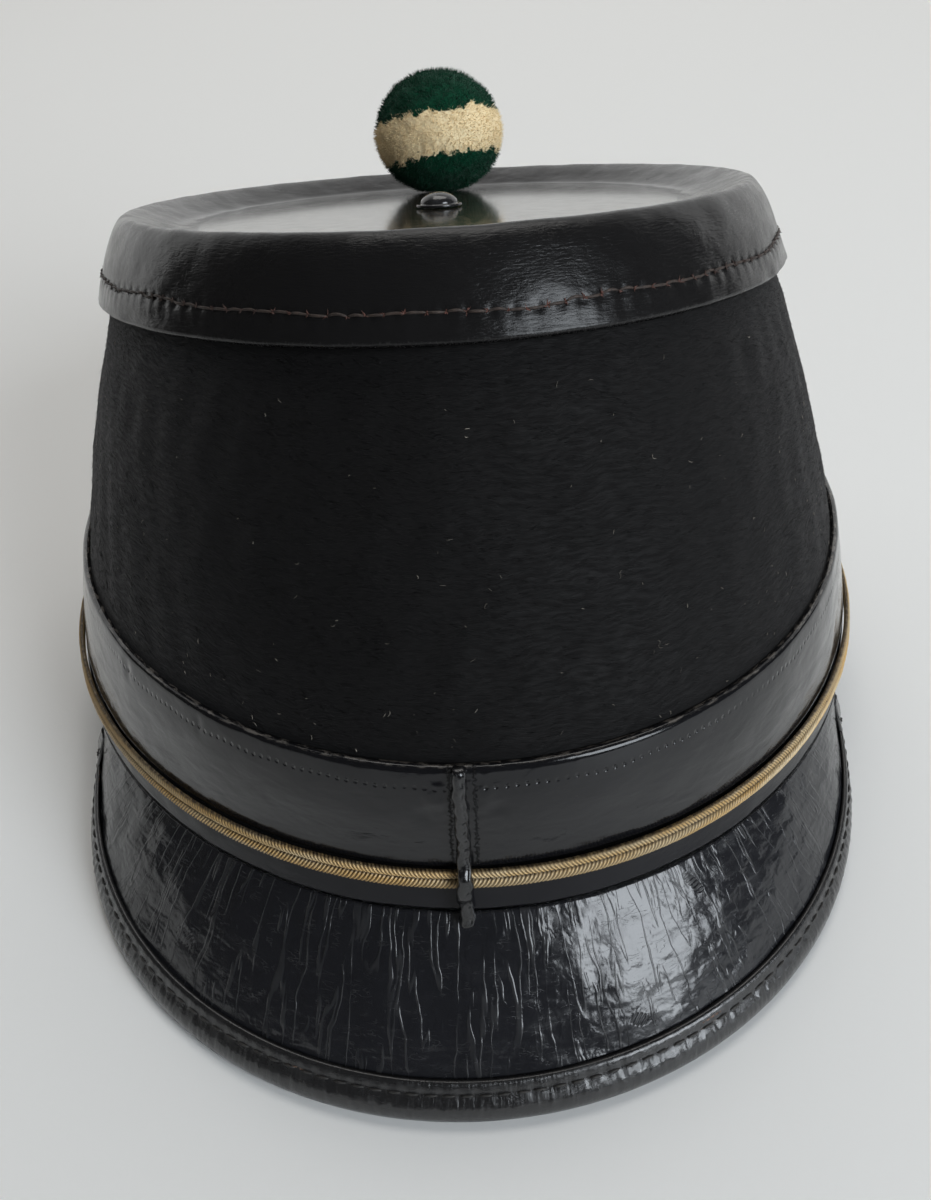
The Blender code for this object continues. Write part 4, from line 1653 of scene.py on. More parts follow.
    def beside(self, shape: HatShape, edge: tuple[Array, Array, Array, Array], out: Array,
            up: Array) -> Array:
        """Points at a distance out from the edge and up from the outer face.

        Inwards the point stays on the curved face: the step is turned into shares by the face's own
        directions there, and the height is taken along the normal at the place it reaches.

        Args:
            shape: The hat's sizes.
            edge: Stations on the edge.
            out: Distances outwards.
            up: Distances upwards.

        Returns:
            The points.
        """
        side, fall, outward, _ = edge
        inside = np.minimum(out, 0.0)
        along, down, _ = self.slopes(shape, side, fall)
        ss, sf, ff = (along * along).sum(-1), (along * down).sum(-1), (down * down).sum(-1)
        s_way, f_way = (along * outward).sum(-1) * inside, (down * outward).sum(-1) * inside
        scale = ss * ff - sf * sf
        side = side + (s_way * ff - f_way * sf) / scale
        fall = fall + (f_way * ss - s_way * sf) / scale
        normal = self.slopes(shape, side, fall)[2]
        point = self.points(shape, side, fall) + (out - inside)[..., None] * outward
        return point + up[..., None] * normal

    def binding(self, shape: HatShape, count: int = 1500) -> Sheet:
        """Rolled binding: a plump C-shaped section carried round the edge, drawn in at each stitch.

        Args:
            shape: The hat's sizes.
            count: Stations along the edge.

        Returns:
            The sheet, closed over its rows, with its map along the edge and round the roll.
        """
        gap, leather, thick = shape.gap, self.binding_leather, shape.peak_leather
        face, under = gap + leather, -thick
        width = self.binding_width
        outer = np.array([
            (-width, under - gap), (-width * 0.99, under - face * 0.85), (-width * 0.8, under - face),
            (-width * 0.12, under - face), (face * 0.75, under - face * 0.55), (face * 1.2, under / 2),
            (face * 0.85, face * 0.25), (-width * 0.10, face * 0.95), (-width * 0.32, face * 1.12),
            (-width * 0.52, face * 0.92), (-width * 0.66, face * 0.86), (-width * 0.84, face * 1.02),
            (-width * 0.975, face * 0.86), (-width, gap)])
        outer = even_line(rounded_line(outer, 2), 26)
        inner = even_line(np.array([(-width, gap), (gap, gap), (gap, under - gap), (-width, under - gap)]),
                28)[1:-1]
        section = np.concatenate([outer, inner])
        edge = self.edge(shape, count)
        along = edge[3] / MM
        pitch = self.stitch_pitch / MM
        beat = 0.5 + 0.5 * np.cos(2.0 * math.pi * along / pitch)
        rows = []
        places = np.concatenate([[0.0], np.cumsum(np.linalg.norm(np.diff(section, axis=0), axis=1))]) / MM
        seam = -width * 0.62
        period = float(along[-1])
        thin = smooth_step(0.0, 9.0, np.minimum(along, period - along))
        for number, (out, up) in enumerate(section):
            on_face = number < len(outer) and up > 0.0
            pull = 0.0
            if on_face:
                at_seam = math.exp(-((out - seam) / (width * 0.16)) ** 2)
                past = math.exp(-((out - seam * 0.45) / (width * 0.26)) ** 2)
                ripple = waves(along, along * 0.0 + number * 0.4, period, 71, 26, 0.9, 3.2)
                pull = -0.16 * at_seam * beat ** 2 + past * (0.06 * (beat - 0.5) + 0.040 * ripple)
            middle = -thick / 2
            outs = out * (0.35 + 0.65 * thin) if out < 0.0 else out * thin
            ups = middle + (up - middle + pull * MM * thin) * (0.62 + 0.38 * thin)
            rows.append(self.beside(shape, edge, outs + 0.0 * along, ups + 0.0 * along))
        points = np.stack(rows)
        lay = np.stack(np.broadcast_arrays(along[None, :], places[:, None]), axis=-1)
        return Sheet(points, np.array(lay), True, False)

    def binding_stitches(self, shape: HatShape) -> Threads:
        """Dark thread that shows for a short way between the binding's stitch holes.

        Args:
            shape: The hat's sizes.

        Returns:
            The stitches.
        """
        draw = np.random.default_rng(73)
        edge = self.edge(shape, 4001)
        length = float(edge[3][-1])
        count = int(length / self.stitch_pitch)
        centre = (np.arange(count) + 0.5) * self.stitch_pitch + draw.normal(0.0, 0.00012, count)
        share = np.linspace(-0.34, 0.34, 5)
        places = np.clip(centre[:, None] + share * self.stitch_pitch, 0.0, length) / length * 4000
        index = np.clip(places.ravel().astype(int), 0, 4000)
        local = tuple(part[index] for part in edge)
        face = shape.gap + self.binding_leather
        up = face * 0.84 + 0.00016 * np.cos(np.tile(share / 0.34, count) * math.pi / 2)
        out = np.full(len(index), -self.binding_width * 0.62)
        flat = self.beside(shape, local, out, up)
        normal = self.slopes(shape, local[0], local[1])[2].reshape(count, 5, 3)[:, 2]
        return tubes(flat.reshape(count, 5, 3), np.array([0.00012, 0.0002, 0.00022, 0.0002, 0.00012]),
                normal, 6)

    def build(self, bench: Bench) -> None:
        """Make the peak, its binding and the binding's sewing.

        Args:
            bench: Where pieces are finished.
        """
        shape = bench.shape
        bench.enter(bench.sheet("peak_face", self.face(shape), "ends"), PeakFinish().material(),
                ["peak"])
        bench.enter(bench.sheet("peak_roll", self.binding(shape), "ends"), BindingFinish().material(),
                ["peak_binding"])
        thread = ThreadFinish(name="binding_thread", colour=(0.012, 0.011, 0.010)).material()
        bench.enter(bench.threads("peak_stitches", [self.binding_stitches(shape)]), thread)


@dataclass
class Pompom:
    """Clipped wool ball, dark green with a cream band, and the pin that holds it."""

    radius: float = 0.0158
    place: float = 0.0600
    locks: int = 56
    lock_height: float = 0.0011
    squash: float = 0.88
    low_squash: float = 0.855
    hairs: int = 17000
    pin_head: float = 0.0050
    pin_head_height: float = 0.0010
    hair_length: tuple[float, float] = (0.0008, 0.0016)
    hair_radius: tuple[float, float] = (0.00005, 0.00010)
    hair_root: float = 0.0003
    wool_depth: float = 0.00045
    sink: float = 0.0010
    top_squash: float = 0.94
    band_way: tuple = (-0.10, 0.26, 1.0)
    band_middle: float = -0.00096

    def seat(self, shape: HatShape) -> tuple[Array, Array]:
        """Middle of the ball and its frame."""
        return LeatherLid.seat(shape, self.place, shape.gap + self.radius * self.squash - self.sink)

    def ways(self, directions: Array) -> Array:
        """Distance of the clipped surface from the middle, in the given directions.

        It is the ball's radius less a low dip between neighbouring locks, whose tops are spread
        evenly over the ball, with fine wool tufts on them and a flattened underside.

        Args:
            directions: Unit directions.

        Returns:
            The distances.
        """
        step = np.arange(self.locks) + 0.5
        height = 1.0 - 2.0 * step / self.locks
        ring = np.sqrt(1.0 - height ** 2)
        angle = step * math.pi * (3.0 - math.sqrt(5.0))
        tops = np.stack([ring * np.cos(angle), ring * np.sin(angle), height], axis=-1)
        flat = directions.reshape(-1, 3)
        nearest = np.sqrt(np.maximum(2.0 - 2.0 * (flat @ tops.T).max(axis=1), 0.0)) / math.sqrt(4.0
                / self.locks)
        dip = self.lock_height * 0.30 * np.minimum(1.0, nearest) ** 2
        draw = np.random.default_rng(81)
        tuft = np.zeros(len(flat))
        for _ in range(40):
            way = unit(draw.normal(size=3)) * draw.uniform(18.0, 60.0)
            tuft += np.sin(flat @ way + draw.uniform(0.0, 2.0 * math.pi))
        radius = self.radius - self.wool_depth - dip + 0.00006 * tuft / math.sqrt(20.0)
        return radius.reshape(directions.shape[:-1])

    def ball(self, shape: HatShape) -> Sheet:
        """Ball as circles of latitude of the clipped surface.

        Args:
            shape: The hat's sizes.

        Returns:
            The sheet.
        """
        middle, frame = self.seat(shape)
        turns = np.linspace(0.0, 2.0 * math.pi, 220, endpoint=False)
        tilt = np.linspace(-math.pi / 2 + 0.02, math.pi / 2 - 0.02, 120)
        across, up = np.cos(tilt)[:, None], np.sin(tilt)[:, None]
        ways = np.stack([across * np.sin(turns), -across * np.cos(turns), up + 0.0 * turns], axis=-1)
        local = ways * self.ways(ways)[..., None]
        local[..., 2] *= np.where(local[..., 2] < 0.0, self.low_squash, self.top_squash)
        around = np.linspace(0.0, 2.0 * math.pi, 221) * self.radius / MM
        lay = np.stack(np.broadcast_arrays(around[None, :], (tilt * self.radius / MM)[:, None]), axis=-1)
        return Sheet(local @ frame.T + middle, lay, False, True)

    def stripe(self, points: Array, shape: HatShape) -> Array:
        """Height above the middle of the cream band, in millimetres, along the band's own axis.

        Args:
            points: Points on the level hat.
            shape: The hat's sizes.

        Returns:
            The heights.
        """
        middle, _ = self.seat(shape)
        axis = unit(np.array(self.band_way))
        return ((points - middle) @ axis - self.band_middle) / MM

    def wool(self, shape: HatShape) -> tuple[Threads, Array]:
        """Short clipped hairs all over the ball, and where each stands to the cream band.

        Args:
            shape: The hat's sizes.

        Returns:
            The hairs and the height of each of their points.
        """
        draw = np.random.default_rng(83)
        middle, frame = self.seat(shape)
        ways = unit(draw.normal(size=(self.hairs, 3)))
        local = ways * (self.ways(ways) - self.hair_root)[:, None]
        local[:, 2] *= np.where(local[:, 2] < 0.0, self.low_squash, self.top_squash)
        roots = local @ frame.T + middle
        out = unit(local) @ frame.T
        lean = unit(draw.normal(size=(self.hairs, 3)))
        growth = unit(out + 0.40 * lean)
        lengths = draw.uniform(*self.hair_length, self.hairs)
        bends = draw.normal(0.0, 0.00010, (self.hairs, 3))
        hairs = spikes(roots, growth, unit(np.cross(growth, lean)), lengths,
                draw.uniform(*self.hair_radius, self.hairs), bends)
        lift = (hairs.points - middle) @ frame[:, 2]
        low = self.sink - self.radius * self.squash - 0.0001
        hairs.points += np.maximum(low - lift, 0.0)[..., None] * frame[:, 2]
        stripe = np.repeat(self.stripe(roots, shape)[:, None], hairs.points.shape[1], axis=1)
        return hairs, stripe.ravel()

    def pin(self, shape: HatShape) -> Sheet:
        """Pin with its flat head under the lid.

        Args:
            shape: The hat's sizes.

        Returns:
            The sheet.
        """
        low = -shape.lid_leather - shape.gap - self.pin_head_height
        head = -shape.lid_leather - shape.gap
        radius = np.array([0.2, 0.94, 1.0, 1.0, 0.94, 0.31, 0.3, 0.3, 0.27, 0.05]) * self.pin_head
        height = np.array([low, low, low + 0.0001, head - 0.0001, head, head, head + 0.0001, 0.0099, 0.0102,
                0.0103])
        return turned(radius, height, 48, LeatherLid.seat(shape, self.place, 0.0))

    def build(self, bench: Bench) -> None:
        """Make the ball, its wool and the pin.

        Args:
            bench: Where pieces are finished.
        """
        shape = bench.shape
        sheet = self.ball(shape)
        ball = bench.sheet("pompom_ball", sheet, "fan")
        wool = WoolFinish().material()
        marks = self.stripe(np.concatenate([sheet.points.reshape(-1, 3), sheet.points[0].mean(axis=0)[None],
                sheet.points[-1].mean(axis=0)[None]]), shape)
        ball.data.attributes.new("stripe", "FLOAT", "POINT").data.foreach_set("value",
                marks.astype(np.float32))
        bench.enter(ball, wool, ["pompom"])
        hairs, stripe = self.wool(shape)
        bench.enter(bench.threads("pompom_wool", [hairs], {"stripe": stripe}), wool)
        bench.enter(bench.sheet("pompom_stem", self.pin(shape), "fan"), SteelFinish().material(),
                ["pompom_pin"])


@dataclass(frozen=True)
class FeltFinish:
    """Black felt whose nap is combed round the crown, with a soft sheen."""

    colour: tuple = (0.0036, 0.0034, 0.0035)
    pale: tuple = (0.0095, 0.0088, 0.0090)

    def material(self) -> bpy.types.Material:
        """Streaks of nap from stretched noise in the lay map, as colour, roughness and height.

        Returns:
            The material.
        """
        nodes = Nodes("black_felt", self.colour, 0.82, Sheen_Weight=0.10, Sheen_Roughness=0.40,
                Sheen_Tint=(0.80, 0.80, 0.84), Specular_IOR_Level=0.16)
        lay = nodes.lay()
        drift = nodes.grain(lay, (0.06, 0.09), 0.0, 2.0)
        x, y, _ = nodes.parts(lay)
        bent = nodes.join(x, nodes.math("MULTIPLY_ADD", drift, 5.0, y))
        fine = nodes.grain(bent, (0.85, 6.5), 0.12, 3.0, 0.6)
        coarse = nodes.grain(bent, (0.3, 2.2), 0.18, 2.0, 0.5)
        patch = nodes.grain(lay, (0.11, 0.17), 0.0, 3.0)
        streak = nodes.span(fine, 0.40, 0.72)
        share = streak * nodes.span(patch, 0.3, 0.75, 0.45, 1.0)
        nodes.colour(nodes.blend(share, self.colour, self.pale))
        nodes.rough(nodes.span(coarse, 0.3, 0.7, 0.62, 0.86))
        nodes.bumps((coarse, 0.10), (fine, 0.12))
        return nodes.material


@dataclass(frozen=True)
class NapFinish:
    """Single black hairs, a little glossier than the felt under them."""

    colour: tuple = (0.010, 0.0095, 0.010)
    black: tuple = (0.0030, 0.0028, 0.0029)
    brown: tuple = (0.014, 0.0128, 0.0125)

    def material(self) -> bpy.types.Material:
        """Hairs that vary from black to dark brown-grey from place to place.

        Returns:
            The material.
        """
        nodes = Nodes("felt_nap", self.colour, 0.48, Specular_IOR_Level=0.30)
        vary = nodes.noise(nodes.place(), 900.0, 1.0)
        nodes.colour(nodes.blend(nodes.span(vary, 0.35, 0.75), self.black, self.brown))
        nodes.rough(nodes.span(vary, 0.3, 0.7, 0.42, 0.6))
        return nodes.material


@dataclass(frozen=True)
class LintFinish:
    """Pale dust and fibre ends."""

    colour: tuple = (0.34, 0.31, 0.27)
    grey: tuple = (0.10, 0.09, 0.08)
    straw: tuple = (0.42, 0.38, 0.32)

    def material(self) -> bpy.types.Material:
        """Colours from grey to straw from place to place.

        Returns:
            The material.
        """
        nodes = Nodes("lint", self.colour, 0.9)
        vary = nodes.noise(nodes.place(), 260.0, 1.0)
        nodes.colour(nodes.blend(nodes.span(vary, 0.3, 0.7), self.grey, self.straw))
        return nodes.material


@dataclass(frozen=True)
class LidFinish:
    """Waxed leather: satin side with fine cross wrinkles, smoother and glossier disc."""

    name: str = "lid_leather"
    colour: tuple = (0.0100, 0.0096, 0.0098)
    # worn: colour of the scuffs, of the rubbed hem edge and of the crest patches, which are partly a
    # painted highlight
    worn: tuple = (0.034, 0.032, 0.031)
    gloss: float = 0.22
    coat: float = 0.04

    def material(self) -> bpy.types.Material:
        """Wrinkles run round the side, scuffs are thresholded cells, lighter crest patches are partly
        rubbed wear and partly a painted highlight, and the disc is polished.

        Returns:
            The material.
        """
        nodes = Nodes(self.name, self.colour, 0.3, Specular_IOR_Level=self.gloss, Coat_Weight=self.coat,
                Coat_Roughness=0.08)
        lay = nodes.lay()
        _, v, _ = nodes.parts(lay)
        disc = nodes.span(v, 24.5, 28.5)
        wrinkle = nodes.grain(lay, (0.55, 2.6), 0.1, 4.0, 0.62, 0.4)
        grain = nodes.grain(lay, (3.2, 3.2), 0.0, 2.0)
        broad = nodes.grain(lay, (0.16, 0.22), 0.0, 3.0)
        scuff = nodes.cells(nodes.scaled(lay, (0.10, 0.13, 1.0), 0.5))
        torn = nodes.grain(lay, (2.4, 1.1), 0.9, 3.0, 0.7)
        mask = nodes.span(scuff, 0.2, 0.05) * nodes.span(torn, 0.54, 0.64)
        edge = nodes.span(v, 0.7, 0.1) * nodes.span(torn, 0.5, 0.66, 0.0, 0.5)
        # lighter patches along the crest: partly rubbed wear, partly a painted highlight of the crest
        crest = nodes.span(abs(v - 17.0), 2.2, 0.2) * nodes.span(broad, 0.45, 0.7, 0.0, 0.35)
        wear = nodes.math("MAXIMUM", nodes.math("MAXIMUM", mask, edge), crest, clamp=True)
        nodes.colour(nodes.blend(wear, self.colour, self.worn))
        side_rough = nodes.span(broad, 0.25, 0.75, 0.15, 0.26)
        smooth = nodes.span(broad, 0.25, 0.75, 0.10, 0.16)
        node = nodes.new("ShaderNodeMix", data_type="FLOAT")
        for socket, value in zip(node.inputs[:4], (disc, None, side_rough, smooth)):
            if value is not None:
                nodes.put(socket, value)
        nodes.rough(node.outputs[0] + wear * 0.25)
        calm = 1.0 - disc * 0.93
        nodes.bumps((wrinkle * calm, 0.065), (grain * calm, 0.02), (broad * calm, 0.25))
        return nodes.material


@dataclass(frozen=True)
class DomeFinish:
    """Black glazed button."""

    colour: tuple = (0.020, 0.020, 0.021)
    handled: tuple = (0.05, 0.05, 0.052)

    def material(self) -> bpy.types.Material:
        """Glossy black with faint handling marks.

        Returns:
            The material.
        """
        nodes = Nodes("button_glaze", self.colour, 0.16, Specular_IOR_Level=0.55, Coat_Weight=0.2,
                Coat_Roughness=0.12)
        marks = nodes.noise(nodes.place(), 700.0, 3.0, 0.6)
        nodes.rough(nodes.span(marks, 0.35, 0.75, 0.14, 0.30))
        nodes.colour(nodes.blend(nodes.span(marks, 0.5, 0.8), self.colour, self.handled))
        nodes.bumps((marks, 0.02))
        return nodes.material


@dataclass(frozen=True)
class ThreadFinish:
    """Waxed brown-black thread; knots marked red are faded."""

    name: str = "waxed_thread"
    colour: tuple = (0.020, 0.013, 0.010)
    faded: tuple = (0.15, 0.055, 0.040)

    def material(self) -> bpy.types.Material:
        """Colour varies along the thread and follows the mark "red".

        Returns:
            The material.
        """
        nodes = Nodes(self.name, self.colour, 0.62)
        vary = nodes.noise(nodes.place(), 1500.0, 2.0)
        dark = nodes.blend(nodes.span(vary, 0.3, 0.7), self.colour,
                tuple(2.4 * part for part in self.colour))
        share = nodes.mark("red") * nodes.span(vary, 0.25, 0.6, 0.35, 1.0)
        nodes.colour(nodes.blend(share, dark, self.faded))
        nodes.bumps((vary, 0.05))
        return nodes.material


def lacquer_nodes(name: str, colour: tuple, rough: tuple[float, float], seed: float, coat: float = 0.35,
        gloss: float = 0.55) -> tuple[Nodes, dict]:
    """Common ground of the lacquered leathers.

    Args:
        name: Name of the material.
        colour: Base colour.
        rough: Roughness where clean and where smeared.
        seed: Shift of the patterns.
        coat: Weight of the clear coat.
        gloss: Specular level under it.

    Returns:
        The nodes and the named values of the map and the smear, flow and fine patterns.
    """
    nodes = Nodes(name, colour, rough[0], Specular_IOR_Level=gloss, Coat_Weight=coat, Coat_Roughness=0.06)
    lay = nodes.lay()
    shifted = nodes.scaled(lay, (1.0, 1.0, 1.0), 0.0, (seed, seed * 0.7, 0.0))
    smear = nodes.grain(shifted, (0.1, 0.34), 0.2, 4.0, 0.6, 0.5)
    flow = nodes.grain(shifted, (0.14, 0.26), 0.0, 2.0, 0.45, 0.3)
    fine = nodes.grain(shifted, (1.1, 1.9), 0.0, 4.0, 0.6, 0.3)
    nodes.rough(nodes.span(smear, 0.42, 0.74, *rough))
    return nodes, {"lay": lay, "smear": smear, "flow": flow, "fine": fine}


@dataclass(frozen=True)
class LacquerFinish:
    """Lacquered leather of the lower strip."""

    colour: tuple = (0.0105, 0.0105, 0.0125)

    def material(self) -> bpy.types.Material:
        """Gloss that swims over slow waves, with fine crackle.

        Returns:
            The material.
        """
        nodes, ground = lacquer_nodes("lacquered_leather", self.colour, (0.10, 0.22), 3.0, 0.0, 0.16)
        nodes.bumps((ground["flow"], 0.20), (ground["fine"], 0.020))
        return nodes.material


@dataclass(frozen=True)
class BandFinish:
    """Lacquered leather of the band: pricked line near the top, rubbed top edge and marks."""

    colour: tuple = (0.0065, 0.0066, 0.0078)
    rubbed: tuple = (0.11, 0.10, 0.09)
    prick_line: float = 18.2
    prick_pitch: float = 1.6
    top: float = 21.6
    length: float = 600.0

    def material(self) -> bpy.types.Material:
        """Pricks are round cells wrapped along the map; the edge is a ramp broken up by noise.

        Returns:
            The material.
        """
        nodes, ground = lacquer_nodes("lacquered_band_leather", self.colour, (0.09, 0.22), 7.0, 0.16, 0.32)
        u, v, _ = nodes.parts(ground["lay"])
        aside = abs(u - (self.length - JOINT_AT))
        torn = nodes.math("MULTIPLY_ADD", ground["fine"] - 0.5, 2.2, aside)
        joint = nodes.span(torn, 2.3, 1.7)
        wander = nodes.grain(ground["lay"], (0.09, 0.0), 0.0, 2.0)
        line = v + wander * 2.0 - (self.prick_line + 1.0)
        cell = nodes.math("FRACT", u / self.prick_pitch) - 0.5
        spot = nodes.new("ShaderNodeVectorMath", operation="LENGTH")
        nodes.put(spot.inputs[0], nodes.join(cell * self.prick_pitch, line))
        along = nodes.scaled(ground["lay"], (0.05, 0.0, 1.0), 0.0, (4.0, 0.0, 0.0))
        shown = nodes.span(nodes.noise(along, 1.0, 2.0), 0.4, 0.52, 0.25, 1.0)
        prick = nodes.span(spot.outputs["Value"], 0.5, 0.12) * shown
        wear_noise = nodes.grain(ground["lay"], (0.35, 1.4), 0.0, 4.0, 0.65)
        edge = nodes.span(v, self.top - 0.34, self.top - 0.05) * nodes.span(wear_noise, 0.47, 0.62)
        scratch = nodes.grain(ground["lay"], (0.5, 4.0), 0.45, 3.0, 0.7)
        mark = nodes.span(scratch, 0.66, 0.72) * nodes.span(ground["smear"], 0.5, 0.62)
        wear = nodes.math("MAXIMUM", edge, mark * 0.3, clamp=True)
        nodes.colour(nodes.blend(wear, self.colour, self.rubbed))
        nodes.bumps((ground["flow"], 0.22), (ground["fine"], 0.020), (prick, -0.16), (mark, -0.02),
                (joint, -0.22))
        return nodes.material


@dataclass(frozen=True)
class WeltFinish:
    """Rolled black leather of the middle welt, ragged at its sides."""

    colour: tuple = (0.0065, 0.0065, 0.0072)

    def material(self) -> bpy.types.Material:
        """Cracked gloss.

        Returns:
            The material.
        """
        nodes, ground = lacquer_nodes("welt_leather", self.colour, (0.10, 0.26), 11.0, 0.3, 0.5)
        crack = nodes.grain(ground["lay"], (2.2, 0.9), 0.3, 5.0, 0.7, 0.6)
        nodes.bumps((ground["fine"], 0.025), (nodes.span(crack, 0.50, 0.62), 0.018))
        return nodes.material


@dataclass(frozen=True)
class PeakFinish:
    """Patent leather, swum and cracked down the fall, with a few scratches."""

    colour: tuple = (0.0115, 0.0120, 0.0145)
    grey: tuple = (0.055, 0.055, 0.056)
    # places along and down, heading, half length, half width and depth of each mark
    marks: tuple = (
        (49.9, 4.7, 1.05, 2.9, 1.1, 1.0),
        (29.9, 23.5, 0.45, 1.9, 1.3, 0.7),
        (-62.2, 18.6, 0.20, 3.0, 1.8, 0.5),
    )
    hatch_pitch: float = 0.85

    def worn(self, nodes: Nodes, u: Value, v: Value) -> Value:
        """Gouge, scribble and scuffed patch, each a rounded spot crossed by a sine hatch.

        Args:
            nodes: The material's nodes.
            u: Way along the edge in millimetres.
            v: Way down the fall in millimetres.

        Returns:
            Their hatched hollows.
        """
        total = 0.0
        for along, down, heading, long, wide, depth in self.marks:
            x, y = (u - along, v - down)
            a = nodes.math("MULTIPLY_ADD", x, math.cos(heading), y * math.sin(heading))
            b = nodes.math("MULTIPLY_ADD", y, math.cos(heading), x * -math.sin(heading))
            far = nodes.math("POWER", abs(a / long), 2.5) + nodes.math("POWER", abs(b / wide), 2.5)
            wave = nodes.math("SINE", nodes.math("MULTIPLY_ADD", b, 0.35, a)
                    * (2.0 * math.pi / self.hatch_pitch))
            total = nodes.math("MULTIPLY_ADD", nodes.span(far, 1.1, 0.5, 0.0, depth), wave - 0.6, total)
        return total

    def material(self) -> bpy.types.Material:
        """Long cracks are thin level lines of noise stretched down the fall; mottling is slow noise.

        Returns:
            The material.
        """
        nodes, ground = lacquer_nodes("peak_patent_leather", self.colour, (0.17, 0.30), 19.0, 0.20, 0.48)
        lay = ground["lay"]
        bend = nodes.grain(lay, (0.16, 0.1), 0.0, 2.0)
        u, v, _ = nodes.parts(lay)
        bent = nodes.join(nodes.math("MULTIPLY_ADD", bend, 3.0, u), v)
        long = nodes.grain(bent, (0.3, 0.03), 0.0, 2.0, 0.5)
        level = abs(long - 0.5)
        broken = nodes.span(nodes.grain(lay, (0.13, 0.05), 0.0, 2.0), 0.38, 0.52)
        crack = nodes.span(level, 0.03, 0.003) * broken
        short = nodes.grain(bent, (0.22, 0.9), 0.25, 2.0, 0.5)
        patch = nodes.span(nodes.grain(lay, (0.3, 0.3), 0.0, 2.0), 0.5, 0.6)
        cross = nodes.span(abs(short - 0.5), 0.01, 0.002) * patch
        mottle = nodes.grain(lay, (0.4, 0.3), 0.1, 2.0, 0.45, 0.6)
        pits = nodes.grain(lay, (2.4, 1.6), 0.0, 3.0, 0.6)
        nodes.colour(nodes.blend(nodes.math("MAXIMUM", crack, cross) * 0.35, self.colour, self.grey))
        nodes.bumps((ground["flow"], 0.34), (mottle, 0.16), (crack, 0.062), (cross, -0.012), (pits, 0.012),
                (self.worn(nodes, u, v), 0.07))
        return nodes.material


@dataclass(frozen=True)
class BindingFinish:
    """Rolled leather of the binding, creased across at each stitch and chipped at its rim."""

    colour: tuple = (0.0135, 0.0132, 0.0138)
    chipped: tuple = (0.16, 0.085, 0.055)

    def material(self) -> bpy.types.Material:
        """Creases run across the roll; chips are rare bare spots on the rim.

        Returns:
            The material.
        """
        nodes, ground = lacquer_nodes("binding_leather", self.colour, (0.20, 0.44), 29.0)
        lay = ground["lay"]
        crease = nodes.grain(lay, (1.5, 0.22), 0.0, 4.0, 0.65, 0.4)
        chip = nodes.cells(nodes.scaled(lay, (0.045, 0.6, 1.0)))
        bite = nodes.span(chip, 0.14, 0.07) * nodes.span(nodes.grain(lay, (1.6, 1.6), 0.0, 3.0), 0.45, 0.58)
        nodes.colour(nodes.blend(bite, self.colour, self.chipped))
        nodes.bumps((crease, 0.16), (ground["fine"], 0.05), (bite, -0.12))
        return nodes.material


@dataclass(frozen=True)
class BraidFinish:
    """Pale gold thread, duller where it has tarnished, with painted shade in its groove, along its rims and
    between its threads.
    """

    gold: tuple = (0.56, 0.36, 0.14)
    pale: tuple = (0.56, 0.43, 0.25)
    # colour of the painted shade in the groove, along the rims and between the threads
    dark: tuple = (0.045, 0.029, 0.014)
    pitch: float = 0.68

    def material(self) -> bpy.types.Material:
        """Colour by tarnish noise; painted shade in the groove, at the rims and between threads that slant
        both ways from the groove.

        Returns:
            The material.
        """
        nodes = Nodes("gold_braid", self.gold, 0.42, Metallic=0.15, Specular_IOR_Level=0.5)
        lay = nodes.lay()
        u, v, _ = nodes.parts(lay)
        slant = nodes.math("MULTIPLY_ADD", abs(v), 1.0, u / self.pitch)
        thread = nodes.math("SINE", slant * (2.0 * math.pi))
        tarnish = nodes.grain(lay, (0.05, 0.5), 0.0, 3.0, 0.6)
        grime = nodes.grain(lay, (0.9, 2.2), 0.0, 3.0, 0.65)
        base = nodes.blend(nodes.span(tarnish, 0.35, 0.65), self.gold, self.pale)
        # painted shade: the groove, both rims and the gaps between threads are darkened in colour, more
        # where the grime noise is strong
        groove = nodes.span(abs(v), 0.42, 0.12)
        rim = nodes.span(abs(v), 1.45, 1.85)
        gap_shade = nodes.span(thread, 0.1, -0.95) * 0.8
        shade_and_grime = nodes.math("MAXIMUM", nodes.math("MAXIMUM", groove, rim), gap_shade)
        shade_and_grime = nodes.math("MULTIPLY", shade_and_grime, nodes.span(grime, 0.25, 0.6, 0.55, 1.0), clamp=True)
        nodes.colour(nodes.blend(shade_and_grime, base, self.dark))
        nodes.rough(nodes.span(grime, 0.3, 0.7, 0.32, 0.60))
        nodes.bumps((thread, 0.05), (grime, 0.05))
        return nodes.material


@dataclass(frozen=True)
class WoolFinish:
    """Clipped wool, dark green with a cream band whose edges are ragged."""

    green: tuple = (0.0040, 0.062, 0.030)
    deep: tuple = (0.0015, 0.030, 0.0140)
    cream: tuple = (0.98, 0.83, 0.54)
    shade: tuple = (0.86, 0.66, 0.38)
    half_band: float = 4.7

    def material(self) -> bpy.types.Material:
        """The band is where the mark "stripe" is small, shifted by coarse and fine noise.

        Returns:
            The material.
        """
        nodes = Nodes("green_wool", self.green, 0.95, Sheen_Weight=0.10, Sheen_Roughness=0.5,
                Specular_IOR_Level=0.04)
        place = nodes.place()
        coarse = nodes.noise(place, 330.0, 2.0, 0.5)
        fine = nodes.noise(place, 1300.0, 2.0, 0.6)
        ragged = (coarse - 0.5) * 5.6 + (fine - 0.5) * 1.6
        height = abs(nodes.mark("stripe") + ragged)
        inside = nodes.span(height, self.half_band + 0.22, self.half_band - 0.22)
        wool = nodes.noise(place, 2600.0, 2.0, 0.6)
        green = nodes.blend(nodes.span(wool, 0.3, 0.7), self.deep, self.green)
        cream = nodes.blend(nodes.span(wool, 0.3, 0.65), self.shade, self.cream)
        nodes.colour(nodes.blend(inside, green, cream))
        nodes.rough(nodes.span(wool, 0.3, 0.7, 0.88, 1.0))
        nodes.bumps((fine, 0.10), (wool, 0.10))
        return nodes.material


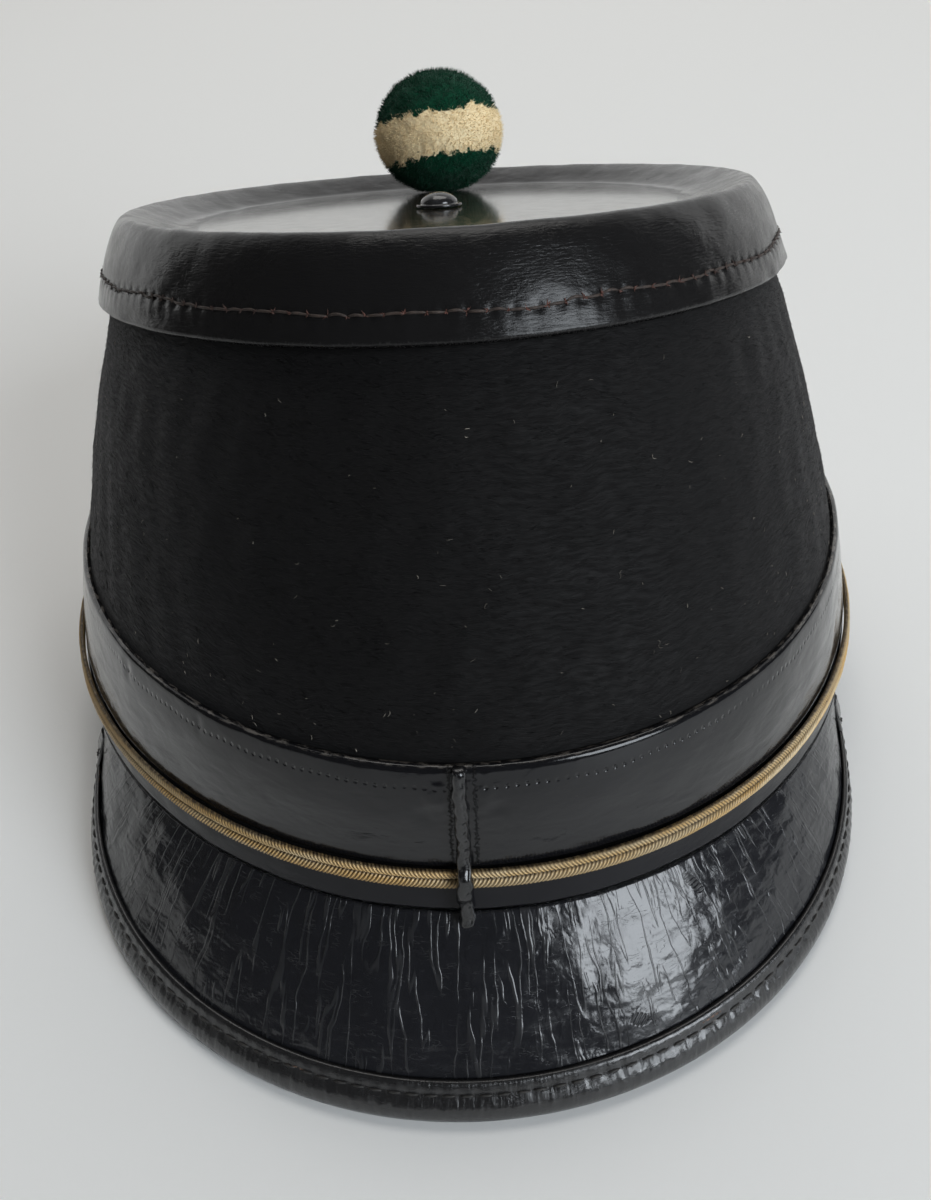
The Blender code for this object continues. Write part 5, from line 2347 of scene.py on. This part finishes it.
@dataclass(frozen=True)
class SteelFinish:
    """Plain dull steel of the hidden pin."""

    colour: tuple = (0.32, 0.32, 0.33)
    rust: tuple = (0.12, 0.07, 0.045)

    def material(self) -> bpy.types.Material:
        """Steel with a little rust.

        Returns:
            The material.
        """
        nodes = Nodes("pin_steel", self.colour, 0.4, Metallic=1.0)
        spots = nodes.noise(nodes.place(), 800.0, 4.0, 0.65)
        nodes.colour(nodes.blend(nodes.span(spots, 0.55, 0.72), self.colour, self.rust))
        nodes.rough(nodes.span(spots, 0.3, 0.7, 0.32, 0.6))
        nodes.bumps((spots, 0.03))
        return nodes.material


@dataclass(frozen=True)
class Lamp:
    """Rectangular soft light: its place, the point it looks at, its size, power and colour."""

    name: str
    place: tuple
    aim: tuple
    size: tuple[float, float]
    power: float
    colour: tuple

    def build(self) -> None:
        """Put the light into the scene, turned so that it looks at its point."""
        data = bpy.data.lights.new(self.name, "AREA")
        data.shape = "RECTANGLE"
        data.size, data.size_y = self.size
        data.energy = self.power
        data.color = self.colour
        lamp = bpy.data.objects.new(self.name, data)
        bpy.context.scene.collection.objects.link(lamp)
        lamp.location = self.place
        back = unit(np.array(self.place, dtype=float) - np.array(self.aim, dtype=float))
        side = unit(np.cross((0.0, 0.0, 1.0), back))
        lamp.rotation_mode = "QUATERNION"
        lamp.rotation_quaternion = frame_quaternion(np.stack([side, np.cross(back, side), back], axis=1))


@dataclass
class Stage:
    """Pale round floor, a large window light and the camera at the photograph's place."""

    camera_place: tuple = (0.0046, -0.2258, 0.1341)
    camera_right: tuple = (0.9987, -0.0142, -0.0500)
    camera_up: tuple = (0.0500, 0.5257, 0.8492)
    focal_pixels: float = 1067.0
    image_height: float = 1200.0
    floor_middle: float = 0.40
    floor_radius: float = 0.92
    floor_depth: float = 0.02
    screen_radius: float = 1.8
    screen_half_turn: float = math.radians(116.0)
    screen_foot: float = -0.25
    screen_top: float = math.radians(80.0)
    screen_grid: tuple[int, int] = (25, 49)
    # height shares where the surroundings start and stop to dim, and their strengths there
    sky: tuple = (0.40, 0.97, 0.86, 0.14)
    lamps: tuple = (
        Lamp("window", (1.06, -1.12, 0.74), (0.0, 0.0, 0.05), (0.84, 1.38), 34.0, (0.88, 0.94, 1.0)),
        Lamp("ceiling", (0.1, 0.7, 1.9), (0.0, 0.3, 0.0), (1.6, 1.2), 16.0, (1.0, 0.98, 0.95)),
    )

    @staticmethod
    def prop(name: str, sheet: Sheet, material: bpy.types.Material, caps: str = "") -> bpy.types.Object:
        """Stage object from a sheet that already lies in the row frame.

        Args:
            name: Name of the object.
            sheet: Its surface.
            material: Its material.
            caps: How its ends are closed.

        Returns:
            The object.
        """
        level = Bench(HatShape(), RestPose(np.zeros(3), np.array([0.0, 0.0, -1.0])))
        made = level.sheet(name, sheet, caps)
        made.data.materials.append(material)
        return made

    def floor(self) -> None:
        """Round floor: circles out from its middle over a rounded edge and in again below."""
        paper = Nodes("pale_floor", (0.86, 0.86, 0.845), 0.6)
        paper.bumps((paper.noise(paper.place(), 900.0, 3.0), 0.02))
        turns = np.linspace(0.0, 2.0 * math.pi, 128, endpoint=False)
        bend = np.linspace(0.0, math.pi, 9)
        half = self.floor_depth / 2
        radii = np.concatenate([[0.02, 0.4], self.floor_radius - half + half * np.sin(bend),
                [0.4, 0.02]])[::-1]
        height = np.concatenate([[0.0, 0.0], -half + half * np.cos(bend), [-2 * half, -2 * half]])[::-1]
        points = np.stack([radii[:, None] * np.sin(turns), self.floor_middle - radii[:, None]
                * np.cos(turns), np.broadcast_to(height[:, None], (len(height), 128))], axis=-1)
        self.prop("floor", Sheet(points, np.zeros((len(height), 129, 2)), False, True), paper.material,
                "fan")

    def screen(self) -> None:
        """Dark screen round the front, a part of a sphere, that the camera does not see itself.

        It stands for the unlit room in front of the hat, which the glossy leather mirrors.
        """
        dark = Nodes("dark_screen", (0.060, 0.058, 0.056), 0.9)
        rows, columns = self.screen_grid
        bearing, rise = np.meshgrid(np.linspace(self.screen_half_turn, -self.screen_half_turn, columns),
                np.linspace(self.screen_foot, self.screen_top, rows))
        level = np.cos(rise)
        ways = np.stack([level * np.sin(bearing), -level * np.cos(bearing), np.sin(rise)], axis=-1)
        points = self.screen_radius * ways
        screen = Sheet(points, np.zeros((rows, columns, 2)), False, False)
        made = self.prop("dark_screen", screen, dark.material)
        made.visible_camera = False

    def world(self) -> None:
        """Pale surroundings, as from light walls, a little dimmer overhead."""
        world = bpy.data.worlds.new("studio")
        bpy.context.scene.world = world
        world.use_nodes = True
        tree = world.node_tree
        tree.nodes.clear()
        place = tree.nodes.new("ShaderNodeTexCoord")
        parts = tree.nodes.new("ShaderNodeSeparateXYZ")
        tree.links.new(place.outputs["Generated"], parts.inputs["Vector"])
        fall = tree.nodes.new("ShaderNodeMapRange")
        fall.interpolation_type = "SMOOTHSTEP"
        for socket, value in zip(("From Min", "From Max", "To Min", "To Max"), self.sky):
            fall.inputs[socket].default_value = value
        tree.links.new(parts.outputs["Z"], fall.inputs["Value"])
        background = tree.nodes.new("ShaderNodeBackground")
        background.inputs["Color"].default_value = (0.985, 0.99, 0.985, 1.0)
        tree.links.new(fall.outputs["Result"], background.inputs["Strength"])
        output = tree.nodes.new("ShaderNodeOutputWorld")
        tree.links.new(background.outputs["Background"], output.inputs["Surface"])

    def camera(self, pose: RestPose) -> None:
        """Camera at its place to the level hat, carried along by the rest pose.

        Args:
            pose: The rest pose.
        """
        data = bpy.data.cameras.new("camera")
        data.sensor_fit = "AUTO"
        data.sensor_width = 36.0
        data.lens = data.sensor_width * self.focal_pixels / self.image_height
        data.clip_start, data.clip_end = 0.01, 20.0
        camera = bpy.data.objects.new("camera", data)
        bpy.context.scene.collection.objects.link(camera)
        right = pose.turn(unit(np.array(self.camera_right)))
        up = pose.turn(unit(np.array(self.camera_up)))
        back = np.cross(right, up)
        camera.location = pose.place(np.array(self.camera_place))
        camera.rotation_mode = "QUATERNION"
        camera.rotation_quaternion = frame_quaternion(np.stack([right, np.cross(back, right), back],
                axis=1))
        bpy.context.scene.camera = camera

    def build(self, pose: RestPose) -> None:
        """Set the floor, the light, the surroundings and the camera.

        Args:
            pose: The rest pose.
        """
        bpy.context.scene.view_settings.view_transform = "Standard"
        self.floor()
        self.screen()
        for lamp in self.lamps:
            lamp.build()
        self.world()
        self.camera(pose)


def frame_quaternion(frame: Array) -> tuple[float, float, float, float]:
    """Quaternion of a frame given by its columns."""
    return tuple(Matrix(frame.tolist()).to_quaternion())


def main() -> None:
    """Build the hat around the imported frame, then the stage."""
    logging.basicConfig(level=logging.INFO, format="%(message)s")
    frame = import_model()
    bench = Bench(HatShape(), RestPose.from_record(frame["record"]))
    FeltCrown().build(bench)
    LeatherLid().build(bench)
    FootTrim().build(bench)
    Peak().build(bench)
    Pompom().build(bench)
    Stage().build(bench.pose)
    LOG.info("%d pieces", len(bench.made))


if __name__ == "__main__":
    main()
